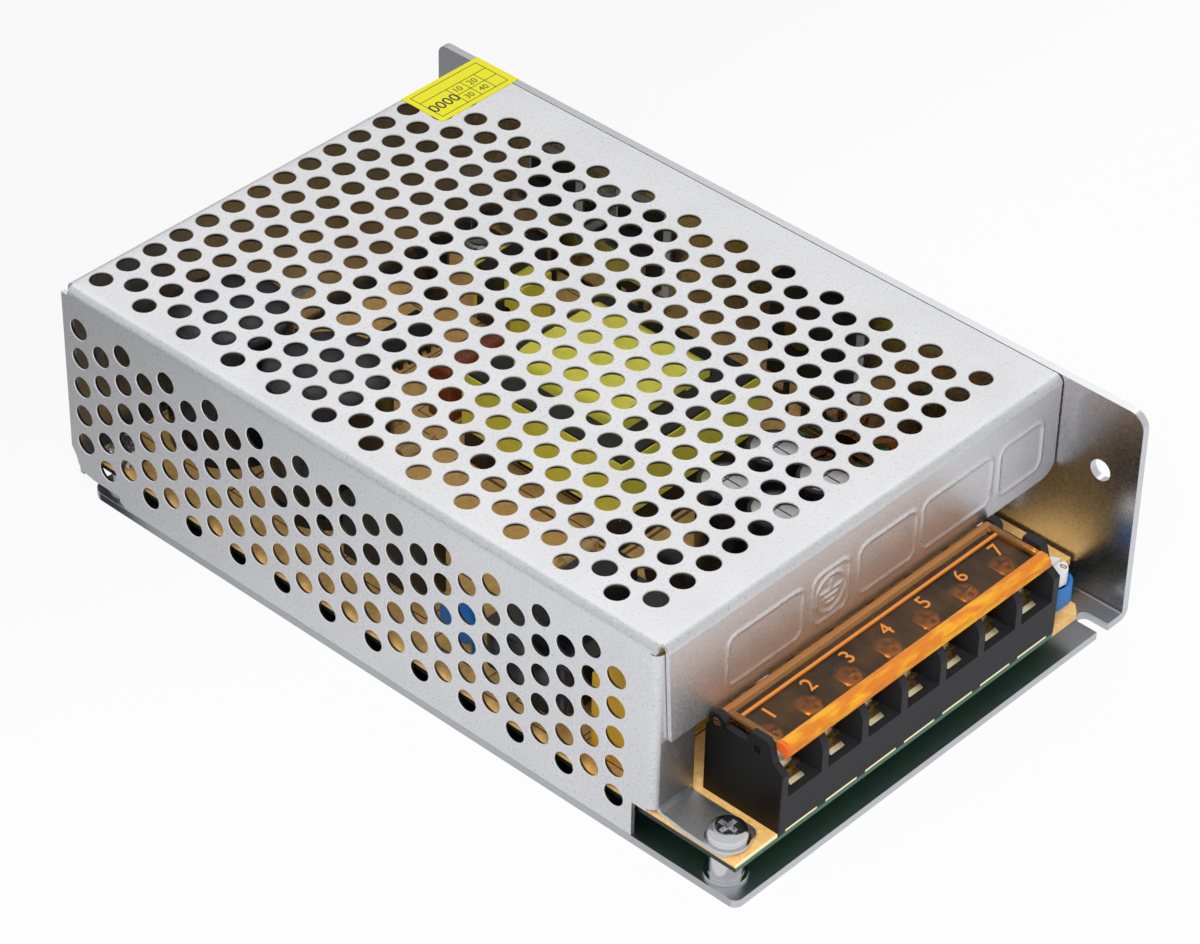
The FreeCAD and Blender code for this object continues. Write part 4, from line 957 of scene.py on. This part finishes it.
# %% Parts that show through the holes
inside = {
    "fuse_tube": clear_glass, "fuse_caps": tin, "thermistor": resin, "x_capacitor": yellow_box,
    "line_choke_core": ferrite, "line_choke_windings": sleeve, "blue_capacitor": blue_box,
    "bridge_rectifier": resin, "transformer_core": ferrite, "transformer_winding": tape,
    "transformer_bobbin": resin, "transformer_tape": tape, "output_choke_core": green_ring,
    "output_choke_winding": copper, "film_capacitor": brown_dip, "driver_core": ferrite,
    "driver_winding": tape, "control_chip": resin, "small_capacitor_1": sleeve,
    "small_capacitor_2": sleeve, "switch_transistor_1": resin, "switch_transistor_2": resin,
    "output_rectifier": resin, "insulating_pads": pale_pad, "clamp_bar": tin,
    "heatsink_screws": nickel, "resistors": tan_coat, "bulk_capacitor_front": sleeve,
    "bulk_capacitor_rear": sleeve, **{"output_capacitor_%d" % i: sleeve for i in range(1, 5)},
}
for node, finish in inside.items():
    softened(node, finish, 0.12, 1)
print("parts inside", len(inside))

# %% [markdown]
# Print and marks. Plain numbers stand where the real thing has print, and each one is a
# thin solid on its own surface. A picture could carry them too, but a solid keeps its edge
# at any distance.

# %% Digits and slabs
FONT_SCALE = 1.4


def number(name, text, place, tall, finish, body="case", thick=0.12, bold=0.0):
    """Digits that lie flat on a surface, centred on a place, tall along y."""
    curve = bpy.data.curves.new(name, "FONT")
    curve.body = text
    curve.align_x, curve.align_y = "CENTER", "CENTER"
    curve.size = tall * FONT_SCALE
    curve.offset = bold
    curve.resolution_u = 4
    holder = bpy.data.objects.new(name + "_curve", curve)
    mesh = bpy.data.meshes.new_from_object(holder)
    bpy.data.objects.remove(holder)
    flat = coordinates(mesh).astype(float)
    low, high = flat.min(0), flat.max(0)
    flat = (flat - (low + high) / 2) * tall / (high[1] - low[1])
    tops = [tuple(polygon.vertices) for polygon in mesh.polygons]
    count = len(flat)
    faces = tops + [(b, a, a + count, b + count) for a, b in open_edges(tops)]
    x, y, z = place
    points = np.concatenate([flat + (x, y, z + thick), flat + (x, y, z)])
    return piece(name, points, faces, finish, body)


def slab(low, high):
    """Points and faces of a block between two corners."""
    points = [(x, y, z) for z in (low[2], high[2]) for y in (low[1], high[1]) for x in (low[0], high[0])]
    faces = [(0, 2, 3, 1), (4, 5, 7, 6), (0, 1, 5, 4), (1, 3, 7, 5), (3, 2, 6, 7), (2, 0, 4, 6)]
    return points, faces


# %% [markdown]
# Raised digits and two thin rims are moulded in one with the lid, so they ride on its body.

# %% Digits and rims on the lid
PANEL_TOP = 22.9
FIRST_DIGIT, DIGIT_STEP, DIGIT_ROW, DIGIT_TALL, DIGIT_THICK = 17.7, 9.24, -6.5, 2.8, 0.15
RIM_LEFT, RIM_RIGHT = 13.9, 76.2
RIMS = [(-4.3, -3.8, 0.35), (-12.4, -12.0, 0.25)]

for way in range(WAYS):
    place = (FIRST_DIGIT + DIGIT_STEP * way, DIGIT_ROW, PANEL_TOP)
    number("lid_number_%d" % (way + 1), str(way + 1), place, DIGIT_TALL, amber_raised, "lid", DIGIT_THICK)
points, faces = join([
    slab((RIM_LEFT, front, PANEL_TOP), (RIM_RIGHT, back, PANEL_TOP + tall)) for front, back, tall in RIMS
])
piece("lid_rims", points, faces, amber_raised, "lid")
print("rims on the lid", len(RIMS))

# %% [markdown]
# The date sticker is a small printed table: a frame, a wide cell and four small ones. Lines
# and digits are measured from the sticker's own box.

# %% The printed sticker
INK, INK_HALF_WIDTH = 0.02, 0.07
WIDE_CELL, SMALL_CELL = 6.4, 3.5
label_low, label_high = span("date_sticker")
label_top = label_high[2]
x0, y0, x1, y1 = label_low[0] + 1.2, label_low[1] + 1.1, label_high[0] - 1.6, label_high[1] - 1.1
row_1, row_2 = y0 + 0.36 * (y1 - y0), y0 + 0.70 * (y1 - y0)
column_1, column_2, column_3 = (x0 + WIDE_CELL + SMALL_CELL * i for i in range(3))
lines = [((x0, y), (x1, y)) for y in (y0, row_2, y1)] + [((column_1, row_1), (x1, row_1))]
lines += [((x0, y0), (x0, y1)), ((x1, y0), (x1, y1))]
lines += [((x, y0), (x, row_2)) for x in (column_1, column_2, column_3)]
points, faces = join([
    slab((ax - INK_HALF_WIDTH, ay - INK_HALF_WIDTH, label_top),
         (bx + INK_HALF_WIDTH, by + INK_HALF_WIDTH, label_top + INK))
    for (ax, ay), (bx, by) in lines
])
piece("sticker_lines", points, faces, print_black)

middle_1, middle_2 = (column_1 + column_2) / 2, (column_2 + column_3) / 2
upper, lower = (row_1 + row_2) / 2, (y0 + row_1) / 2
cells = [("0000", x0 + WIDE_CELL / 2, (y0 + row_2) / 2, 2.4, 0.02), ("10", middle_1, upper, 1.4, 0),
         ("20", middle_2, upper, 1.4, 0), ("30", middle_1, lower, 1.4, 0), ("40", middle_2, lower, 1.4, 0)]
for index, (text, x, y, tall, bold) in enumerate(cells):
    number("sticker_number_%d" % index, text, (x, y, label_top), tall, print_black, thick=INK, bold=bold)
print("lines", len(lines), "and numbers", len(cells), "on the sticker")

# %% [markdown]
# Thin rectangles round the parts' footprints are printed on the board. They come from each
# part's own box, so an outline stays with its part when a size changes.

# %% Outlines on the board
SILK_WIDTH, SILK_GAP, SILK_THICK = 0.22, 0.9, 0.01
LONGEST_OUTLINE = 60
board_low, board_high = span("circuit_board")
board_top = board_high[2]


def silk_outline(low, high):
    """Thin rectangle round a part's footprint."""
    x0, y0, x1, y1 = low[0] - SILK_GAP, low[1] - SILK_GAP, high[0] + SILK_GAP, high[1] + SILK_GAP
    w = SILK_WIDTH
    front, rear = ((x0, y0), (x1, y0 + w)), ((x0, y1 - w), (x1, y1))
    left, right = ((x0, y0), (x0 + w, y1)), ((x1 - w, y0), (x1, y1))
    z = board_top + SILK_THICK
    return [slab((ax, ay, board_top), (bx, by, z)) for (ax, ay), (bx, by) in (front, rear, left, right)]


outlines = []
for node in inside:
    low, high = span(node)
    fits = np.all(low[:2] - SILK_GAP > board_low[:2]) and np.all(high[:2] + SILK_GAP < board_high[:2])
    if fits and high[0] - low[0] < LONGEST_OUTLINE:
        outlines += silk_outline(low, high)
piece("board_print", *join(outlines), print_black)
print("outlines on the board", len(outlines) // 4)

# %% [markdown]
# The output capacitors end in bare discs with a scored cross, the bright spots behind the
# front holes. The trimmer's rotor has one small mark.

# %% Tops of the round parts
CAN_RADIUS, CAN_SUNK, CAN_THICK = 4.2, 0.12, 0.2
SCORE_REACH, SCORE_HALF_WIDTH = 3.0, 0.12
SCORE_LOW, SCORE_HIGH = 0.05, 0.1


def disc(centre, radius, height, steps=40):
    """Thin round plate with a soft edge: three rings of points, at a radius times cosine and sine."""
    turns = 2 * np.pi * np.arange(steps) / steps
    x, y, z = centre
    rings = [(radius, 0.0), (radius, height * 0.6), (radius * 0.97, height)]
    points = [
        np.stack([x + ring * np.cos(turns), y + ring * np.sin(turns), np.full(steps, z + up)], -1)
        for ring, up in rings
    ]
    faces = grid_faces(3, steps, wrap=True).tolist()
    faces.append(list(range(2 * steps, 3 * steps)))
    return np.concatenate(points), faces


for index in range(1, 5):
    low, high = span("output_capacitor_%d" % index)
    x, y = (low[:2] + high[:2]) / 2
    piece("can_top_%d" % index, *disc((x, y, high[2] - CAN_SUNK), CAN_RADIUS, CAN_THICK), tin)
    score = join([
        slab((x - u, y - v, high[2] + SCORE_LOW), (x + u, y + v, high[2] + SCORE_HIGH))
        for u, v in ((SCORE_REACH, SCORE_HALF_WIDTH), (SCORE_HALF_WIDTH, SCORE_REACH))
    ])
    piece("can_score_%d" % index, *score, resin)

rotor_low, rotor_high = span("trimmer_rotor")
x, y = (rotor_low[:2] + rotor_high[:2]) / 2
mark_place = (x + 1.4, y - 1.3, rotor_high[2])
number("trimmer_mark", "0", mark_place, 1.3, print_black, "trimmer_turn_piece", INK, 0.02)
print("can tops 4, rotor top at", rotor_high[2])

# %% [markdown]
# The camera stands where the photograph was taken from. Its turn comes from the case's own
# edges, and its place is in the model's frame.

# %% Camera
AZIMUTH, ELEVATION, ROLL = (math.radians(angle) for angle in (-47.7988, 38.0199, 1.2967))
FOCAL_PIXELS, PICTURE_WIDTH = 4357.96, 1200
STAND = (-0.42275, -0.38838, 0.46331)
SENSOR = 36.0
flat_reach = math.cos(ELEVATION)
back = Vector((math.sin(AZIMUTH) * flat_reach, -math.cos(AZIMUTH) * flat_reach, math.sin(ELEVATION)))
level = (-back).cross(Vector((0, 0, 1))).normalized()
upright = level.cross(-back)
right = math.cos(ROLL) * level + math.sin(ROLL) * upright
upward = math.cos(ROLL) * upright - math.sin(ROLL) * level
camera = placed("camera", bpy.data.cameras.new("camera"))
turn = Matrix((right, upward, back)).transposed().to_4x4()
camera.matrix_world = Matrix.Translation(STAND) @ turn
camera.data.sensor_width = SENSOR
camera.data.lens = SENSOR * FOCAL_PIXELS / PICTURE_WIDTH
scene = bpy.context.scene
scene.camera = camera
print("camera", round(Vector(STAND).length, 3), "m away, lens", round(camera.data.lens, 1), "mm")

# %% [markdown]
# The main light is one large soft panel up on the left. It isn't mirrored, because its
# mirror image would burn out the cover's top in a view from behind.

# %% Key panel
LOOK_FROM = (-0.50, -0.42, 0.76)
KEY_DISTANCE, KEY_SIDE, KEY_WATTS = 1.2, 0.6, 14.0
lamp = bpy.data.lights.new("key panel", "AREA")
lamp.shape = "SQUARE"
lamp.size = KEY_SIDE
lamp.energy = KEY_WATTS
key = placed("key panel", lamp)
towards = Vector(LOOK_FROM).normalized()
key.location = towards * KEY_DISTANCE + Vector((0, 0, 0.02))
key.rotation_euler = towards.to_track_quat("Z", "Y").to_euler()
key.visible_glossy = False
print("key panel at", [round(part, 3) for part in key.location])

# %% [markdown]
# The floor is pale, with painted shade that darkens it towards the rear, for the metal to mirror. A tall
# card behind the object gives the top its soft shine.

# %% Floor and card
FLOOR_ENDS, FLOOR_DROP = (-4000, 4000), -0.05
GREY_FROM, GREY_TO = 60.0, 190.0
CAMERA_GLOW = 0.92
CARD_MIDDLE = np.array([49.0, 63.0, 42.0])
CARD_AWAY, CARD_ACROSS = np.array([0.742, 0.672, 0.0]), np.array([0.672, -0.742, 0.0])
CARD_DISTANCE, CARD_REACH = 900.0, 900.0
CARD_LOW, CARD_HIGH = 250.0, 1500.0
CARD_GLOW = 1.65


def stage_sheet(name, points, shine):
    """Large flat sheet round the object that isn't part of it."""
    mesh = bpy.data.meshes.new(name)
    mesh.from_pydata((np.array(points) + CORNER) * MM, [], [(0, 1, 3, 2)])
    mesh.materials.append(shine.material)
    thing = placed(name, mesh)
    return thing


def floor_finish():
    """Pale floor that keeps the object's shadow, darkened towards the rear as painted shade, and looks
    nearly white to the camera.
    """
    pale = Finish("pale floor", (0.74, 0.74, 0.74), roughness=0.9, specular_ior_level=0.0)
    # Painted shade: the floor darkens towards the rear.
    rear = pale.ramp(pale.axis("Y"), GREY_FROM, GREY_TO)
    pale.set("Base Color", pale.mix(rear, (0.64, 0.64, 0.65), (0.23, 0.23, 0.235)))
    glow = pale.add("Emission", {}, {"Color": (1.0, 1.0, 1.0), "Strength": 1.0})
    camera_ray = pale.add("LightPath", output="Is Camera Ray")
    pale.cover_with(glow, camera_ray * CAMERA_GLOW)
    return pale


def card_finish():
    """Glow of the card that the top mirrors, brightest at its upper edge."""
    shine = Finish("sky card glow", (0, 0, 0), specular_ior_level=0.0)
    height = shine.ramp(shine.axis("Z"), 560.0, 860.0)
    shine.set("Emission Color", shine.mix(height, (0.28, 0.28, 0.285), (1.0, 1.0, 1.0)))
    shine.set("Emission Strength", CARD_GLOW)
    return shine


stage_sheet("floor", [(x, y, FLOOR_DROP) for y in FLOOR_ENDS for x in FLOOR_ENDS], floor_finish())
foot_of_card = CARD_MIDDLE + CARD_DISTANCE * CARD_AWAY
corners = [foot_of_card + side * CARD_REACH * CARD_ACROSS + (0, 0, height)
           for height in (CARD_LOW, CARD_HIGH) for side in (-1, 1)]
sky = stage_sheet("sky_card", corners, card_finish())
sky.visible_camera = False
sky.visible_transmission = False
print("card", 2 * CARD_REACH, "mm wide and", CARD_HIGH - CARD_LOW, "mm tall")

# %% [markdown]
# Round it all is a dim tent of light. The camera, and what is seen through the lid, meets
# plain white instead, and mirror images get a part of that white.

# %% Tent
TENT_STRENGTH, MIRRORED_WHITE = 0.5, 0.4
world = bpy.data.worlds.new("tent")
scene.world = world
world.use_nodes = True
tree = world.node_tree


def tent_node(kind, inputs, operation=None):
    """Adds a node to the tent's tree, with each input linked or set, and gives it back."""
    node = tree.nodes.new("ShaderNode" + kind)
    if operation:
        node.operation = operation
    for key, value in inputs.items():
        if isinstance(value, bpy.types.NodeSocket):
            tree.links.new(value, node.inputs[key])
        else:
            node.inputs[key].default_value = value
    return node


white = tree.nodes["Background"]
white.inputs["Color"].default_value = (1, 1, 1, 1)
tent = tent_node("Background", {"Color": (0.95, 0.97, 1.0, 1), "Strength": TENT_STRENGTH})
rays = tent_node("LightPath", {}).outputs
mirrored = tent_node("Math", {0: rays["Is Glossy Ray"], 1: MIRRORED_WHITE}, "MULTIPLY")
passed = tent_node("Math", {0: mirrored.outputs[0], 1: rays["Is Transmission Ray"]}, "MAXIMUM")
share = tent_node("Math", {0: rays["Is Camera Ray"], 1: passed.outputs[0]}, "MAXIMUM")
choice = tent_node("MixShader", {0: share.outputs[0], 1: tent.outputs[0], 2: white.outputs[0]})
tree.links.new(choice.outputs[0], tree.nodes["World Output"].inputs["Surface"])
print("nodes in the tent", len(tree.nodes))

# %% [markdown]
# The plain view setting keeps the colours of the finishes as they are.

# %% View setting
scene.view_settings.view_transform = "Standard"
print("view", scene.view_settings.view_transform)
